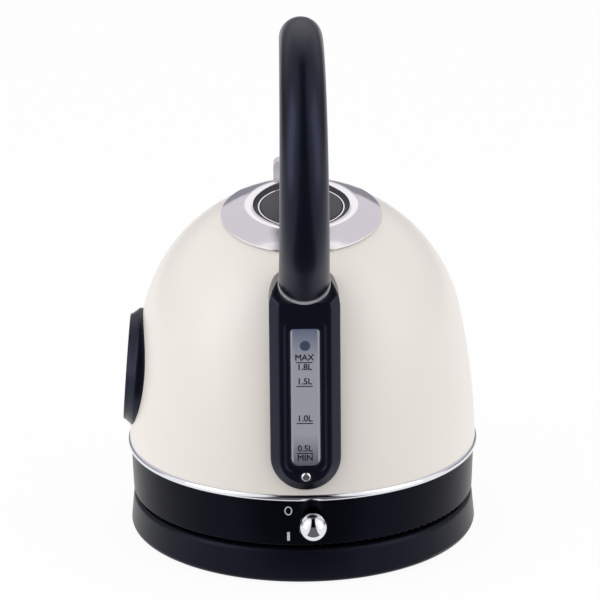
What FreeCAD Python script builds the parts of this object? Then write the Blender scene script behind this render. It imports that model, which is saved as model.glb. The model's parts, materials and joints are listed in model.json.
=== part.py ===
# Cordless electric kettle: a dome vessel with an arched tube handle, a water window, a ball-ended
# switch lever, a dial thermometer and a hinged lid with a push button, standing on its power base.
# Millimetres and degrees. +Z is up, the origin is on the table under the middle of the power base,
# the handle is at -Y, the spout at +Y and the thermometer at -X.
import FreeCAD, Part
import math
import os
import Sketcher

Vector = FreeCAD.Vector

SIZES = {
    # Dome shell
    "dome_radius": 91.5,
    "dome_centre": 107.9,
    "side_radius": 407.0,
    "side_angle": 12.4,
    "shell_wall": 0.8,
    "shell_foot": 53.0,
    # Trim ring, skirt and bottom cover
    "trim_bulge": 1.3,
    "trim_height": 3.8,
    "trim_width": 5.0,
    "skirt_inset": 0.7,
    "skirt_taper": 0.8,
    "skirt_wall": 2.4,
    "skirt_edge": 1.0,
    "seat_gap": 2.2,
    "cover_inset": 0.6,
    "cover_thickness": 2.0,
    "rest_circle": 60.0,
    "rest_width": 3.0,
    "boss_radius": 4.5,
    "boss_height": 14.0,
    "boss_bite": 1.0,
    # Power base
    "base_margin": 0.2,
    "base_flare": 1.4,
    "base_top": 20.5,
    "base_wall": 2.5,
    "base_edge": 3.0,
    "foot_height": 1.2,
    "foot_width": 8.0,
    "foot_radius": 82.0,
    "plate_thickness": 3.0,
    "base_screw_circle": 60.0,
    "screw_radius": 1.6,
    "screw_length": 10.0,
    "screw_head_radius": 3.0,
    "screw_head_height": 1.2,
    "inlet_bore": 3.2,
    "inlet_radius": 4.0,
    "inlet_flange": 0.8,
    # Connector between base and kettle
    "socket_radius": 16.0,
    "socket_height": 14.0,
    "socket_depth": 12.0,
    "socket_flange": 26.0,
    "flange_sheet": 2.0,
    "pin_radius": 2.4,
    "ring_radius": 10.4,
    "ring_wall": 1.2,
    "contact_gap": 0.9,
    "contact_height": 1.0,
    "connector_play": 0.8,
    "connector_grip": 5.6,
    # Heater and control
    "floor_height": 64.3,
    "floor_wall": 1.0,
    "floor_seal_width": 1.6,
    "floor_seal_height": 5.0,
    "floor_seal_rise": 1.0,
    "spreader_radius": 64.0,
    "spreader_thickness": 3.0,
    "element_circle": 52.0,
    "element_radius": 4.0,
    "element_sweep": 300.0,
    "terminal_radius": 2.0,
    "terminal_length": 14.0,
    "control_radius": 27.0,
    "control_flange": 36.0,
    "control_flange_height": 6.0,
    "control_screw_circle": 31.5,
    "control_thread": 2.0,
    "disc_radius": 9.0,
    "disc_spacing": 22.0,
    "disc_thickness": 0.7,
    "steam_tube_radius": 5.0,
    "steam_tube_wall": 0.8,
    "steam_tube_low": 52.5,
    "steam_tube_top": 142.5,
    "steam_tube_x": -40.0,
    "steam_tube_y": -60.0,
    # Switch lever
    "lever_x": 3.6,
    "lever_height": 38.7,
    "lever_inset": 15.2,
    "ball_gap": 4.2,
    "ball_radius": 7.85,
    "lever_neck": 2.2,
    "lever_collar": 3.4,
    "lever_spigot": 2.4,
    "lever_hub": 4.0,
    "lever_width": 8.0,
    "lever_tail": 14.0,
    "tail_thickness": 4.0,
    "tail_width": 5.0,
    "lever_pin_radius": 1.5,
    "lever_pin_end": 0.5,
    "recess_width": 13.6,
    "recess_drop": 2.1,
    "recess_rise": 4.2,
    "recess_depth": 6.0,
    "recess_wall": 1.2,
    "slot_width": 8.0,
    "slot_rise": 4.2,
    "slot_fall": 8.0,
    "ear_sheet": 1.5,
    "ear_half": 5.0,
    "ear_rise": 5.0,
    "rod_radius": 1.8,
    "rod_reach": 11.0,
    "rod_length": 13.0,
    "guide_height": 46.5,
    "guide_thickness": 3.0,
    "guide_width": 8.0,
    "guide_end": 4.0,
    # Rear housing and water window
    "housing_standoff": 10.1,
    "face_lean": 3.9,
    "housing_width": 37.8,
    "housing_low": 58.5,
    "housing_crown": 9.0,
    "housing_bevel": 5.0,
    "housing_face": 4.5,
    "housing_wall": 3.4,
    "cavity_rise": 5.5,
    "shoulder_ledge": 0.6,
    "window_width": 15.6,
    "window_low": 73.2,
    "window_gap": 20.7,
    "window_low_round": 4.4,
    "window_high_round": 1.8,
    "window_recess": 1.0,
    "window_wall": 1.8,
    "bezel_margin": 3.0,
    "bezel_depth": 0.7,
    "window_flange": 2.2,
    "flange_thickness": 1.6,
    "tank_thickness": 1.6,
    "port_inset": 8.8,
    "port_radius": 3.0,
    "port_bore": 1.8,
    "port_reach": 5.0,
    "seal_rim": 2.4,
    "housing_screw_drop": 6.1,
    "housing_screw_head": 2.45,
    "housing_screw_sink": 0.8,
    "housing_screw_length": 7.5,
    "stud_radius": 3.4,
    # Handle
    "handle_top": 303.0,
    "seat_height": 169.5,
    "seat_inset": 11.0,
    "rear_lean": 33.0,
    "grip_front_radius": 11.0,
    "grip_top_radius": 11.8,
    "grip_rear_radius": 13.6,
    "core_radius": 5.0,
    "core_anchor": 10.0,
    "ferrule_height": 2.0,
    "ferrule_lip": 0.4,
    "bracket_setback": 5.7,
    "bracket_height": 10.1,
    "bracket_width": 30.0,
    "bracket_depth": 11.0,
    "bracket_bar": 4.0,
    "bracket_leg": 4.0,
    "bracket_round": 3.4,
    "front_screw_radius": 2.5,
    "front_screw_head": 4.4,
    "front_screw_head_height": 2.6,
    "front_screw_grip": 9.0,
    # Lid collar
    "lid_tilt": 11.9,
    "collar_radius": 44.5,
    "collar_wall": 1.2,
    "collar_gap": 0.3,
    "undercut_width": 2.0,
    "undercut_rise": 0.5,
    "lip_radius": 31.4,
    "lip_crown": 9.0,
    "lip_drop": 0.3,
    "mouth_radius": 26.8,
    "mouth_seat": 25.7,
    "seat_high": 4.0,
    "seat_low": 8.0,
    "neck_radius": 28.0,
    "neck_depth": 12.0,
    "clamp_width": 5.0,
    "clamp_drop": 5.0,
    # Lid
    "lid_play": 0.4,
    "lid_depth": 10.0,
    "lid_base_radius": 24.6,
    "lid_well_depth": 6.2,
    "funnel_width": 2.4,
    "funnel_drop": 1.4,
    "band_width": 0.8,
    "band_height": 0.8,
    "lid_seal_low": 1.2,
    "lid_seal_height": 1.6,
    "lid_seal_inner": 22.8,
    "lid_seal_outer": 25.4,
    "button_play": 0.4,
    "button_edge": 0.7,
    "button_crown": 1.0,
    "button_rise": 0.5,
    "button_plate": 2.2,
    "button_stem": 4.0,
    "stem_clearance": 0.3,
    "spring_inner": 6.0,
    "spring_outer": 15.0,
    "spring_sheet": 0.8,
    "hinge_back": 31.5,
    "hinge_rise": 3.4,
    "hinge_pin_radius": 1.3,
    "hinge_knuckle": 2.5,
    "hinge_width": 13.0,
    "hinge_ear": 2.6,
    "hinge_arm": 1.5,
    "hinge_foot": 25.2,
    "hinge_foot_depth": 1.6,
    "catch_width": 8.0,
    "catch_sheet": 0.6,
    "catch_root": 6.0,
    "catch_reach": 23.8,
    "catch_nose": 27.4,
    "catch_gap": 0.6,
    # Thermometer
    "gauge_height": 93.9,
    "gauge_lean": 5.0,
    "gauge_turn": 0.5,
    "gauge_radius": 33.6,
    "gauge_face_radius": 30.2,
    "gauge_taper": 5.4,
    "gauge_stand": 4.2,
    "gauge_skirt": 9.0,
    "gauge_round": 1.2,
    "gauge_rim": 3.2,
    "gauge_floor": 1.0,
    "gauge_bezel_width": 2.0,
    "gauge_bezel_sink": 0.3,
    "dial_thickness": 0.5,
    "lens_height": 2.6,
    "lens_thickness": 0.8,
    "needle_rest": 72.0,
    "needle_length": 20.0,
    "needle_tail": 7.0,
    "needle_width": 2.0,
    "needle_height": 1.8,
    "needle_thickness": 0.4,
    "needle_hub": 2.6,
    "staff_radius": 0.8,
    "staff_top": 2.4,
    "stem_radius": 3.0,
    "stem_reach": 32.0,
    "nut_width": 14.0,
    "nut_height": 4.0,
    "nut_gap": 0.9,
    # Spout
    "spout_sink": 29.5,
    "spout_reach": 21.5,
    "spout_wall": 1.0,
    "spout_root_drop": 1.4,
    "spout_root_rise": 50.6,
    "spout_root_width": 58.0,
    "spout_tip_rise": 45.6,
    "spout_tip_height": 22.0,
    "spout_tip_width": 26.0,
    "spout_tip_tilt": 35.0,
    # Fits
    "close_fit": 0.05,
    "free_fit": 0.3,
}

# Shape ratios that follow the piece they belong to
HEAD_FLANK = 0.6
HEAD_TOP = 0.75
CROSS_HALF = 0.15
CROSS_LENGTH = 0.6
CROSS_OVER = 1.3
CROSS_DEPTH = 0.35
BEAK_LOW = 0.9
BEAK_HIGH = 0.6

# Angles at which what repeats round a circle starts, and half a side of a hexagon
BOSS_START = 90.0
CONTROL_SCREW_START = 60.0
HEXAGON_HALF = 30.0

# Cutting tools run on past the piece they cut by these lengths
OVERRUN = 6.0
LONG_OVERRUN = 40.0

doc = FreeCAD.newDocument("kettle")
sheet = doc.addObject("Spreadsheet::Sheet", "dims")
for row, (alias, number) in enumerate(SIZES.items(), start=1):
    sheet.set("A%d" % row, alias)
    sheet.set("B%d" % row, str(number))
    sheet.setAlias("B%d" % row, alias)
doc.recompute()


class Size:
    """A number together with the sheet formula that gives it."""

    def __init__(self, value, formula):
        self.value = value
        self.formula = formula

    def __add__(self, other):
        other = as_size(other)
        return Size(self.value + other.value, "(%s + %s)" % (self.formula, other.formula))

    def __sub__(self, other):
        other = as_size(other)
        return Size(self.value - other.value, "(%s - %s)" % (self.formula, other.formula))

    def __mul__(self, other):
        other = as_size(other)
        return Size(self.value * other.value, "(%s * %s)" % (self.formula, other.formula))

    def __truediv__(self, other):
        other = as_size(other)
        return Size(self.value / other.value, "(%s / %s)" % (self.formula, other.formula))

    def __radd__(self, other):
        return as_size(other) + self

    def __rsub__(self, other):
        return as_size(other) - self

    def __rmul__(self, other):
        return as_size(other) * self

    def __neg__(self):
        return as_size(0.0) - self


def as_size(item):
    if isinstance(item, Size):
        return item
    return Size(float(item), "(%r)" % float(item))


def root(item):
    return Size(math.sqrt(item.value), "sqrt(%s)" % item.formula)


def sine(item):
    return Size(math.sin(math.radians(item.value)), "sin(%s)" % item.formula)


def cosine(item):
    return Size(math.cos(math.radians(item.value)), "cos(%s)" % item.formula)


class Dims:
    """Gives each cell of the sheet as a Size."""

    def __getattr__(self, alias):
        return Size(float(sheet.get(alias)), "dims." + alias)


dims = Dims()
parts = {}


def bind(item, name, size):
    item.setExpression(name, as_size(size).formula)


def place(item, x=0.0, y=0.0, z=0.0, axis=(1, 0, 0), angle=0.0):
    spot = [as_size(value) for value in (x, y, z)]
    turn = as_size(angle)
    rotation = FreeCAD.Rotation(Vector(*axis), turn.value)
    item.Placement = FreeCAD.Placement(Vector(*[size.value for size in spot]), rotation)
    for letter, size in zip("xyz", spot):
        bind(item, "Placement.Base." + letter, size)
    if isinstance(angle, Size):
        bind(item, "Placement.Rotation.Angle", turn)
    return item


def keep(label, item):
    item.Label = label
    parts[label] = item
    return item


def new_body(label):
    body = doc.addObject("PartDesign::Body", label)
    body.Label = label
    return body


def origin_plane(body, role):
    return [item for item in body.Origin.OriginFeatures if item.Role == role][0]


# Outlines: each entry is a corner (x, y), reached by a straight line from the corner before it, or
# (x, y, radius, side), reached by an arc whose centre is on that side of the way there.
def arc_centre(start, end, radius, side):
    chord = end - start
    rise = math.sqrt(max(radius**2 - (chord.Length / 2) ** 2, 0.0))
    normal = Vector(-chord.y, chord.x, 0).normalize()
    return (start + end) * 0.5 + normal * (rise if side == "left" else -rise)


def set_length(sketch, rule, name, size):
    number = sketch.addConstraint(rule)
    sketch.renameConstraint(number, name)
    sketch.setExpression("Constraints." + name, size.formula)


def fix_point(sketch, point, entry, name):
    for letter, value, axis in (("X", entry[0], -2), ("Y", entry[1], -1)):
        size = as_size(value)
        if size.value == 0.0:
            sketch.addConstraint(Sketcher.Constraint("PointOnObject", *point, axis))
            continue
        rule = Sketcher.Constraint("Distance" + letter, -1, 1, *point, size.value)
        set_length(sketch, rule, name + letter.lower(), size)


def add_edge(sketch, start, end, entry, name):
    """Draws the edge that reaches an entry; gives its first and last point."""
    if len(entry) == 2:
        edge = sketch.addGeometry(Part.LineSegment(start, end))
        return (edge, 1), (edge, 2)
    radius = as_size(entry[2])
    middle = arc_centre(start, end, radius.value, entry[3])
    left = entry[3] == "left"
    first, last = (start, end) if left else (end, start)
    circle = Part.Circle(middle, Vector(0, 0, 1), radius.value)
    low = math.atan2(first.y - middle.y, first.x - middle.x)
    high = math.atan2(last.y - middle.y, last.x - middle.x)
    edge = sketch.addGeometry(Part.ArcOfCircle(circle, low, high))
    set_length(sketch, Sketcher.Constraint("Radius", edge, radius.value), name + "r", radius)
    return ((edge, 1), (edge, 2)) if left else ((edge, 2), (edge, 1))


def add_outline(sketch, outline, tag, closed):
    corners = [Vector(as_size(entry[0]).value, as_size(entry[1]).value, 0) for entry in outline]
    ends = []
    for index, entry in enumerate(outline):
        if closed or index:
            name = "%s%d" % (tag, index)
            ends.append(add_edge(sketch, corners[index - 1], corners[index], entry, name))
    followers = ends[1:] + ends[:1] if closed else ends[1:]
    for before, after in zip(ends, followers):
        sketch.addConstraint(Sketcher.Constraint("Coincident", *before[1], *after[0]))
    points = [end[1] for end in ends]
    if not closed:
        points.insert(0, ends[0][0])
    for index, point in enumerate(points):
        fix_point(sketch, point, outline[index], "%s%d" % (tag, index))


def add_circle(sketch, circle, tag):
    x, y, radius = [as_size(value) for value in circle]
    middle = Vector(x.value, y.value, 0)
    edge = sketch.addGeometry(Part.Circle(middle, Vector(0, 0, 1), radius.value))
    set_length(sketch, Sketcher.Constraint("Radius", edge, radius.value), tag + "r", radius)
    fix_point(sketch, (edge, 3), (x, y), tag)


def add_sketch(body, role, outlines, spot=(0.0, 0.0, 0.0), turn=0.0, axis=(1, 0, 0), closed=True):
    """A sketch of outlines (lists of corners) and circles (x, y, radius) on a plane of its body."""
    sketch = body.newObject("Sketcher::SketchObject", "outline")
    sketch.AttachmentSupport = [(origin_plane(body, role), "")]
    sketch.MapMode = "FlatFace"
    angle = as_size(turn)
    rotation = FreeCAD.Rotation(Vector(*axis), angle.value)
    sketch.AttachmentOffset = FreeCAD.Placement(Vector(), rotation)
    for letter, size in zip("xyz", spot):
        bind(sketch, "AttachmentOffset.Base." + letter, size)
    if isinstance(turn, Size):
        bind(sketch, "AttachmentOffset.Rotation.Angle", angle)
    for index, outline in enumerate(outlines):
        if isinstance(outline, tuple):
            add_circle(sketch, outline, "c%d" % index)
        else:
            add_outline(sketch, outline, "p%d_" % index, closed)
    return sketch


def turned(label, outline, angle=360.0):
    body = new_body(label)
    sketch = add_sketch(body, "XZ_Plane", [outline])
    feature = body.newObject("PartDesign::Revolution", "turn")
    feature.Profile = sketch
    feature.ReferenceAxis = (sketch, ["V_Axis"])
    bind(feature, "Angle", angle)
    return body


def rod(label, radius, low, high):
    return turned(label, [(0.0, low), (radius, low), (radius, high), (0.0, high)])


def tube(label, bore, radius, low, high):
    return turned(label, [(bore, low), (radius, low), (radius, high), (bore, high)])


def padded(label, role, outlines, length, offset=0.0, both_sides=False):
    body = new_body(label)
    feature = body.newObject("PartDesign::Pad", "pad")
    feature.Profile = add_sketch(body, role, outlines, (0.0, 0.0, offset))
    bind(feature, "Length", length)
    if both_sides:
        feature.SideType = "Symmetric"
    return body


def block(x, y, z):
    """A box between three pairs of low and high values."""
    item = doc.addObject("Part::Box", "block")
    for name, (low, high) in zip(("Length", "Width", "Height"), (x, y, z)):
        bind(item, name, as_size(high) - low)
    return place(item, x[0], y[0], z[0])


def ball(radius):
    item = doc.addObject("Part::Sphere", "ball")
    bind(item, "Radius", radius)
    return item


def boolean(kind, base, tools):
    for tool in tools:
        item = doc.addObject(kind, "joined")
        item.Base = base
        item.Tool = tool
        base = item
    return base


def cut(base, *tools):
    return boolean("Part::Cut", base, tools)


def fused(base, *tools):
    return boolean("Part::Fuse", base, tools)


def common(base, *tools):
    return boolean("Part::Common", base, tools)


def group(*items):
    item = doc.addObject("Part::Compound", "group")
    item.Links = list(items)
    return item


def around(count, start=0.0):
    return [as_size(start + 360.0 * index / count) for index in range(count)]


def on_circle(item, circle, angle, z=0.0):
    return place(item, circle * cosine(angle), circle * sine(angle), z)


def rounded_box(half, low, high, low_round, high_round):
    return [
        (low_round - half, low, low_round, "left"),
        (half - low_round, low),
        (half, low + low_round, low_round, "left"),
        (half, high - high_round),
        (half - high_round, high, high_round, "left"),
        (high_round - half, high),
        (-half, high - high_round, high_round, "left"),
        (-half, low + low_round),
    ]


def obround(half, low, high, middle=0.0):
    return [
        (middle, low, half, "left"),
        (middle + half, low + half, half, "left"),
        (middle + half, high - half),
        (middle, high, half, "left"),
        (middle - half, high - half, half, "left"),
        (middle - half, low + half),
    ]


def screw(radius, length, head_radius, head_height):
    """A cross-recessed screw with its seat at zero, its head below and its shank above."""
    outline = [
        (0.0, -head_height),
        (HEAD_TOP * head_radius, -head_height),
        (head_radius, -HEAD_FLANK * head_height),
        (head_radius, 0.0),
        (radius, 0.0),
        (radius, length),
        (0.0, length),
    ]
    long_way = (-CROSS_LENGTH * head_radius, CROSS_LENGTH * head_radius)
    short_way = (-CROSS_HALF * head_radius, CROSS_HALF * head_radius)
    depth = (-CROSS_OVER * head_height, -CROSS_DEPTH * head_height)
    return cut(turned("screw", outline), block(long_way, short_way, depth), block(short_way, long_way, depth))


# Dome profile: a ball on top that runs tangent into a shallow side arc
side_axis = (dims.dome_radius - dims.side_radius) * cosine(dims.side_angle)
side_height = dims.dome_centre + (dims.dome_radius - dims.side_radius) * sine(dims.side_angle)


def ball_at(radius, reach):
    return root(radius * radius - reach * reach)


def dome_joint(offset):
    radius = dims.dome_radius + offset
    return radius * cosine(dims.side_angle), dims.dome_centre + radius * sine(dims.side_angle)


def dome_at(height, offset=0.0):
    """Radius of the dome's outside, or of a surface at an offset from it, at a height."""
    if height.value > dome_joint(offset)[1].value:
        return ball_at(dims.dome_radius + offset, height - dims.dome_centre)
    return side_axis + ball_at(dims.side_radius + offset, height - side_height)


def dome_block(offset):
    """The whole dome as a solid, for cutting what seats on it."""
    low = trim_low
    radius = dims.dome_radius + offset
    joint_radius, joint_height = dome_joint(offset)
    outline = [
        (0.0, low),
        (dome_at(low, offset), low),
        (joint_radius, joint_height, dims.side_radius + offset, "left"),
        (0.0, dims.dome_centre + radius, radius, "left"),
    ]
    return turned("dome_block", outline)


# Levels and radii that several pieces share
trim_low = dims.shell_foot - dims.trim_height
foot_edge = dome_at(dims.shell_foot)
skirt_top_radius = foot_edge - dims.skirt_inset
skirt_low_radius = skirt_top_radius - dims.skirt_taper
skirt_low = dims.base_top + dims.seat_gap
cover_low = skirt_low + dims.cover_inset
cover_high = cover_low + dims.cover_thickness
cover_radius = skirt_low_radius - dims.skirt_wall - dims.close_fit
boss_circle = skirt_low_radius - dims.skirt_wall - dims.boss_radius + dims.boss_bite
base_top_radius = skirt_low_radius + dims.base_margin
base_radius = base_top_radius + dims.base_flare
base_inside = base_top_radius - dims.base_wall
plate_low = dims.foot_height
plate_high = plate_low + dims.plate_thickness
deck_low = dims.base_top - dims.base_wall
base_screw_seat = plate_low + dims.screw_head_height
inlet_height = (plate_high + deck_low) * 0.5
socket_top = dims.base_top + dims.socket_height
socket_floor = socket_top - dims.socket_depth
ring_inside = dims.ring_radius - dims.ring_wall
cavity_roof = socket_top + dims.contact_gap
blind_top = cavity_roof + dims.connector_grip
plate_under = dims.floor_height - dims.floor_wall
spreader_under = plate_under - dims.spreader_thickness
control_top = spreader_under - dims.disc_thickness - dims.close_fit
control_flange_low = control_top - dims.control_flange_height
screw_hole = dims.screw_radius + dims.close_fit
BOSS_ANGLES = around(3, BOSS_START)
CONTROL_SCREW_ANGLES = around(3, CONTROL_SCREW_START)


# Power base
def at_inlet(item):
    """Own Z along the cord inlet, towards +Y."""
    return place(item, 0.0, 0.0, inlet_height, (-1, 0, 0), 90.0)


def make_base_housing():
    shell = turned("base_shell", [
        (base_inside, plate_low),
        (base_radius - dims.base_edge, plate_low),
        (base_radius, plate_low + dims.base_edge, dims.base_edge, "left"),
        (base_top_radius, dims.base_top - dims.base_edge),
        (base_top_radius - dims.base_edge, dims.base_top, dims.base_edge, "left"),
        (dims.socket_radius + dims.close_fit, dims.base_top),
        (dims.socket_radius + dims.close_fit, deck_low),
        (base_inside, deck_low),
    ])
    pilot_end = base_screw_seat + dims.screw_length + dims.free_fit
    for angle in BOSS_ANGLES:
        boss = rod("boss", dims.boss_radius, plate_high, deck_low)
        pilot = rod("pilot", screw_hole, plate_low, pilot_end)
        shell = fused(shell, on_circle(boss, dims.base_screw_circle, angle))
        shell = cut(shell, on_circle(pilot, dims.base_screw_circle, angle))
    drill = rod("drill", dims.inlet_radius + dims.close_fit, base_inside - OVERRUN, base_radius + OVERRUN)
    keep("base_housing", cut(shell, at_inlet(drill)))


def make_base_plate():
    plate = rod("plate", base_inside - dims.close_fit, plate_low, plate_high)
    screws = []
    for angle in BOSS_ANGLES:
        hole = rod("hole", screw_hole, plate_low, plate_high)
        sink = rod("sink", dims.screw_head_radius + dims.close_fit, plate_low - OVERRUN, base_screw_seat)
        plate = cut(plate, on_circle(hole, dims.base_screw_circle, angle))
        plate = cut(plate, on_circle(sink, dims.base_screw_circle, angle))
        fastener = screw(dims.screw_radius, dims.screw_length, dims.screw_head_radius, dims.screw_head_height)
        screws.append(on_circle(fastener, dims.base_screw_circle, angle, base_screw_seat))
    keep("base_plate", plate)
    keep("base_screws", group(*screws))
    keep("base_foot", tube("foot", dims.foot_radius - dims.foot_width, dims.foot_radius, 0.0, plate_low))


def make_socket():
    pin_hole = dims.pin_radius + dims.contact_gap
    groove_inner = ring_inside - dims.contact_gap
    groove_outer = dims.ring_radius + dims.contact_gap
    flange_low = deck_low - dims.flange_sheet
    keep("base_socket", turned("socket", [
        (0.0, flange_low),
        (dims.socket_flange, flange_low),
        (dims.socket_flange, deck_low),
        (dims.socket_radius, deck_low),
        (dims.socket_radius, socket_top),
        (groove_outer, socket_top),
        (groove_outer, socket_floor),
        (groove_inner, socket_floor),
        (groove_inner, socket_top),
        (pin_hole, socket_top),
        (pin_hole, socket_floor),
        (0.0, socket_floor),
    ]))
    contact_top = socket_floor + dims.contact_height
    pad = rod("pad", dims.pin_radius, socket_floor, contact_top)
    track = tube("track", ring_inside, dims.ring_radius, socket_floor, contact_top)
    keep("socket_contacts", group(pad, track))


def make_inlet():
    flange_end = base_inside - dims.free_fit
    flange_start = flange_end - dims.inlet_flange
    grommet = turned("grommet", [
        (dims.inlet_bore, flange_start),
        (dims.inlet_radius + dims.inlet_flange, flange_start),
        (dims.inlet_radius + dims.inlet_flange, flange_end),
        (dims.inlet_radius, flange_end),
        (dims.inlet_radius, base_radius),
        (dims.inlet_bore, base_radius),
    ])
    keep("inlet_grommet", at_inlet(grommet))


# Connector contacts that hang from the kettle into the base
def make_contacts():
    low = socket_floor + dims.contact_height + dims.free_fit
    high = blind_top - dims.free_fit
    keep("contact_pin", rod("pin", dims.pin_radius, low, high))
    keep("contact_ring", tube("ring", ring_inside, dims.ring_radius, low, high))


# Frames of the pieces that lean with the dome
def on_lid(item):
    """Own Z along the lid's axis, own origin in the middle of the dome's ball."""
    return place(item, 0.0, 0.0, dims.dome_centre, (1, 0, 0), dims.lid_tilt)


housing_high = dims.seat_height + dims.housing_crown
window_high = dims.seat_height - dims.window_gap
PORT_HEIGHTS = (dims.window_low + dims.port_inset, window_high - dims.port_inset)
face_slope = sine(dims.face_lean) / cosine(dims.face_lean)
face_base =-(dome_at(dims.housing_low) + dims.housing_standoff + dims.housing_low * face_slope)


def on_face(item):
    """Own X across the housing's face, own Y up it and own Z out of it."""
    return place(item, 0.0, face_base, 0.0, (1, 0, 0), 90.0 - dims.face_lean)


def face_spot(height, depth):
    """Y and Z of a spot at a height on the housing's face and a depth behind it."""
    y = face_base + height * sine(dims.face_lean) + depth * cosine(dims.face_lean)
    z = height * cosine(dims.face_lean) - depth * sine(dims.face_lean)
    return y, z


def face_slab(label, outlines, near, far):
    """A slab between two depths behind the housing's face."""
    return on_face(padded(label, "XY_Plane", outlines, as_size(far) - near, -as_size(far)))


def at_gauge(item):
    """Own X up the thermometer's face and own Z out of it, from where its axis leaves the dome."""
    x = -dome_at(dims.gauge_height)
    item = place(item, x, 0.0, dims.gauge_height, (0, -1, 0), 90.0 - dims.gauge_lean)
    return place(group(item), 0.0, 0.0, 0.0, (0, 0, 1), dims.gauge_turn)


# Vessel
def port_end(height):
    """Depth behind the housing's face at which a level port ends inside the vessel."""
    z = height * cosine(dims.face_lean)
    face_y = face_spot(height, 0.0)[0]
    return dims.port_reach - face_y - dome_at(z)


def port_drill(height, radius):
    return face_slab("port_drill", [(0.0, height, radius)], 0.0, port_end(height) + OVERRUN)


def beak(half, low, high):
    return rounded_box(half, low, high, BEAK_LOW * half, BEAK_HIGH * half)


def spout_solid(inset):
    body = new_body("spout_solid")
    root_half = dims.spout_root_width * 0.5 - inset
    root_low = dims.dome_centre - dims.spout_root_drop + inset
    root_high = dims.dome_centre + dims.spout_root_rise - inset
    root_outline = beak(root_half, root_low, root_high)
    half_height = dims.spout_tip_height * 0.5 - inset
    tip_outline = beak(dims.spout_tip_width * 0.5 - inset, -half_height, half_height)
    tip_spot = (0.0, dims.dome_centre + dims.spout_tip_rise, -dims.dome_radius - dims.spout_reach)
    root_spot = (0.0, 0.0, dims.spout_sink - dims.dome_radius)
    feature = body.newObject("PartDesign::AdditiveLoft", "loft")
    feature.Profile = add_sketch(body, "XZ_Plane", [root_outline], root_spot)
    feature.Sections = [add_sketch(body, "XZ_Plane", [tip_outline], tip_spot, dims.spout_tip_tilt)]
    return body


def make_shell():
    wall = dims.shell_wall
    fit = dims.close_fit
    inside = dims.dome_radius - wall
    inner_radius, inner_height = dome_joint(-wall)
    outer_radius, outer_height = dome_joint(0.0)
    shell = turned("shell", [
        (dome_at(dims.shell_foot, -wall), dims.shell_foot, dims.side_radius - wall, "right"),
        (foot_edge, dims.shell_foot),
        (outer_radius, outer_height, dims.side_radius, "left"),
        (0.0, dims.dome_centre + dims.dome_radius, dims.dome_radius, "left"),
        (0.0, dims.dome_centre + inside),
        (inner_radius, inner_height, inside, "right"),
    ])
    mouth = on_lid(rod("mouth", dims.neck_radius + fit, inside - LONG_OVERRUN, inside + LONG_OVERRUN))
    stem_hole = at_gauge(rod("stem_hole", dims.stem_radius + fit, -dims.gauge_skirt, dims.gauge_skirt))
    ports = [port_drill(height, dims.port_radius + fit) for height in PORT_HEIGHTS]
    keep("dome_shell", cut(shell, mouth, stem_hole, spout_solid(dims.spout_wall), *ports))


def make_spout():
    keep("spout", cut(spout_solid(0.0), spout_solid(dims.spout_wall), dome_block(dims.close_fit)))


def make_trim_ring():
    half = dims.trim_height * 0.5
    bead = (half * half + dims.trim_bulge * dims.trim_bulge) / (2.0 * dims.trim_bulge)
    keep("trim_ring", turned("trim", [
        (foot_edge - dims.trim_width, trim_low),
        (foot_edge, trim_low),
        (foot_edge, dims.shell_foot, bead, "left"),
        (foot_edge - dims.trim_width, dims.shell_foot),
    ]))


def make_heater():
    plate_radius = dome_at(dims.floor_height, -dims.shell_wall) - dims.floor_seal_width
    tube_hole = rod("tube_hole", dims.steam_tube_radius + dims.close_fit, plate_under, dims.floor_height)
    place(tube_hole, dims.steam_tube_x, dims.steam_tube_y)
    keep("heater_plate", cut(rod("plate", plate_radius, plate_under, dims.floor_height), tube_hole))

    seal_high = dims.floor_height + dims.floor_seal_rise
    seal_low = seal_high - dims.floor_seal_height
    seal_gap = dims.shell_wall + dims.close_fit
    keep("floor_seal", turned("seal", [
        (plate_radius + dims.close_fit, seal_low),
        (dome_at(seal_low, -seal_gap), seal_low),
        (dome_at(seal_high, -seal_gap), seal_high, dims.side_radius - seal_gap, "left"),
        (plate_radius + dims.close_fit, seal_high),
    ]))

    spreader = rod("spreader", dims.spreader_radius, spreader_under, plate_under)
    for angle in CONTROL_SCREW_ANGLES:
        hole = rod("hole", screw_hole, spreader_under, spreader_under + dims.control_thread + dims.free_fit)
        spreader = cut(spreader, on_circle(hole, dims.control_screw_circle, angle))
    keep("heat_spreader", spreader)

    middle = spreader_under - dims.element_radius - dims.close_fit
    element = turned("element", (dims.element_circle, middle, dims.element_radius), dims.element_sweep)
    for angle in (as_size(0.0), dims.element_sweep):
        terminal = rod("terminal", dims.terminal_radius, middle - dims.terminal_length, middle)
        element = fused(element, on_circle(terminal, dims.element_circle, angle))
    keep("heating_element", element)

    steam_tube = tube(
        "steam_tube",
        dims.steam_tube_radius - dims.steam_tube_wall,
        dims.steam_tube_radius,
        dims.steam_tube_low,
        dims.steam_tube_top,
    )
    keep("steam_tube", place(steam_tube, dims.steam_tube_x, dims.steam_tube_y))


# Skirt and bottom cover
def make_skirt():
    skirt = turned("skirt_wall", [
        (skirt_low_radius - dims.skirt_wall, skirt_low),
        (skirt_low_radius - dims.skirt_edge, skirt_low),
        (skirt_low_radius, skirt_low + dims.skirt_edge, dims.skirt_edge, "left"),
        (skirt_top_radius, trim_low),
        (skirt_top_radius - dims.skirt_wall, trim_low),
    ])
    for angle in BOSS_ANGLES:
        boss = rod("boss", dims.boss_radius, cover_high, cover_high + dims.boss_height)
        pilot = rod("pilot", screw_hole, cover_high, cover_low + dims.screw_length + dims.free_fit)
        skirt = fused(skirt, on_circle(boss, boss_circle, angle))
        skirt = cut(skirt, on_circle(pilot, boss_circle, angle))
    keep("skirt", cut(skirt, recess(0.0, skirt_low_radius - dims.recess_depth - OVERRUN)))


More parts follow.
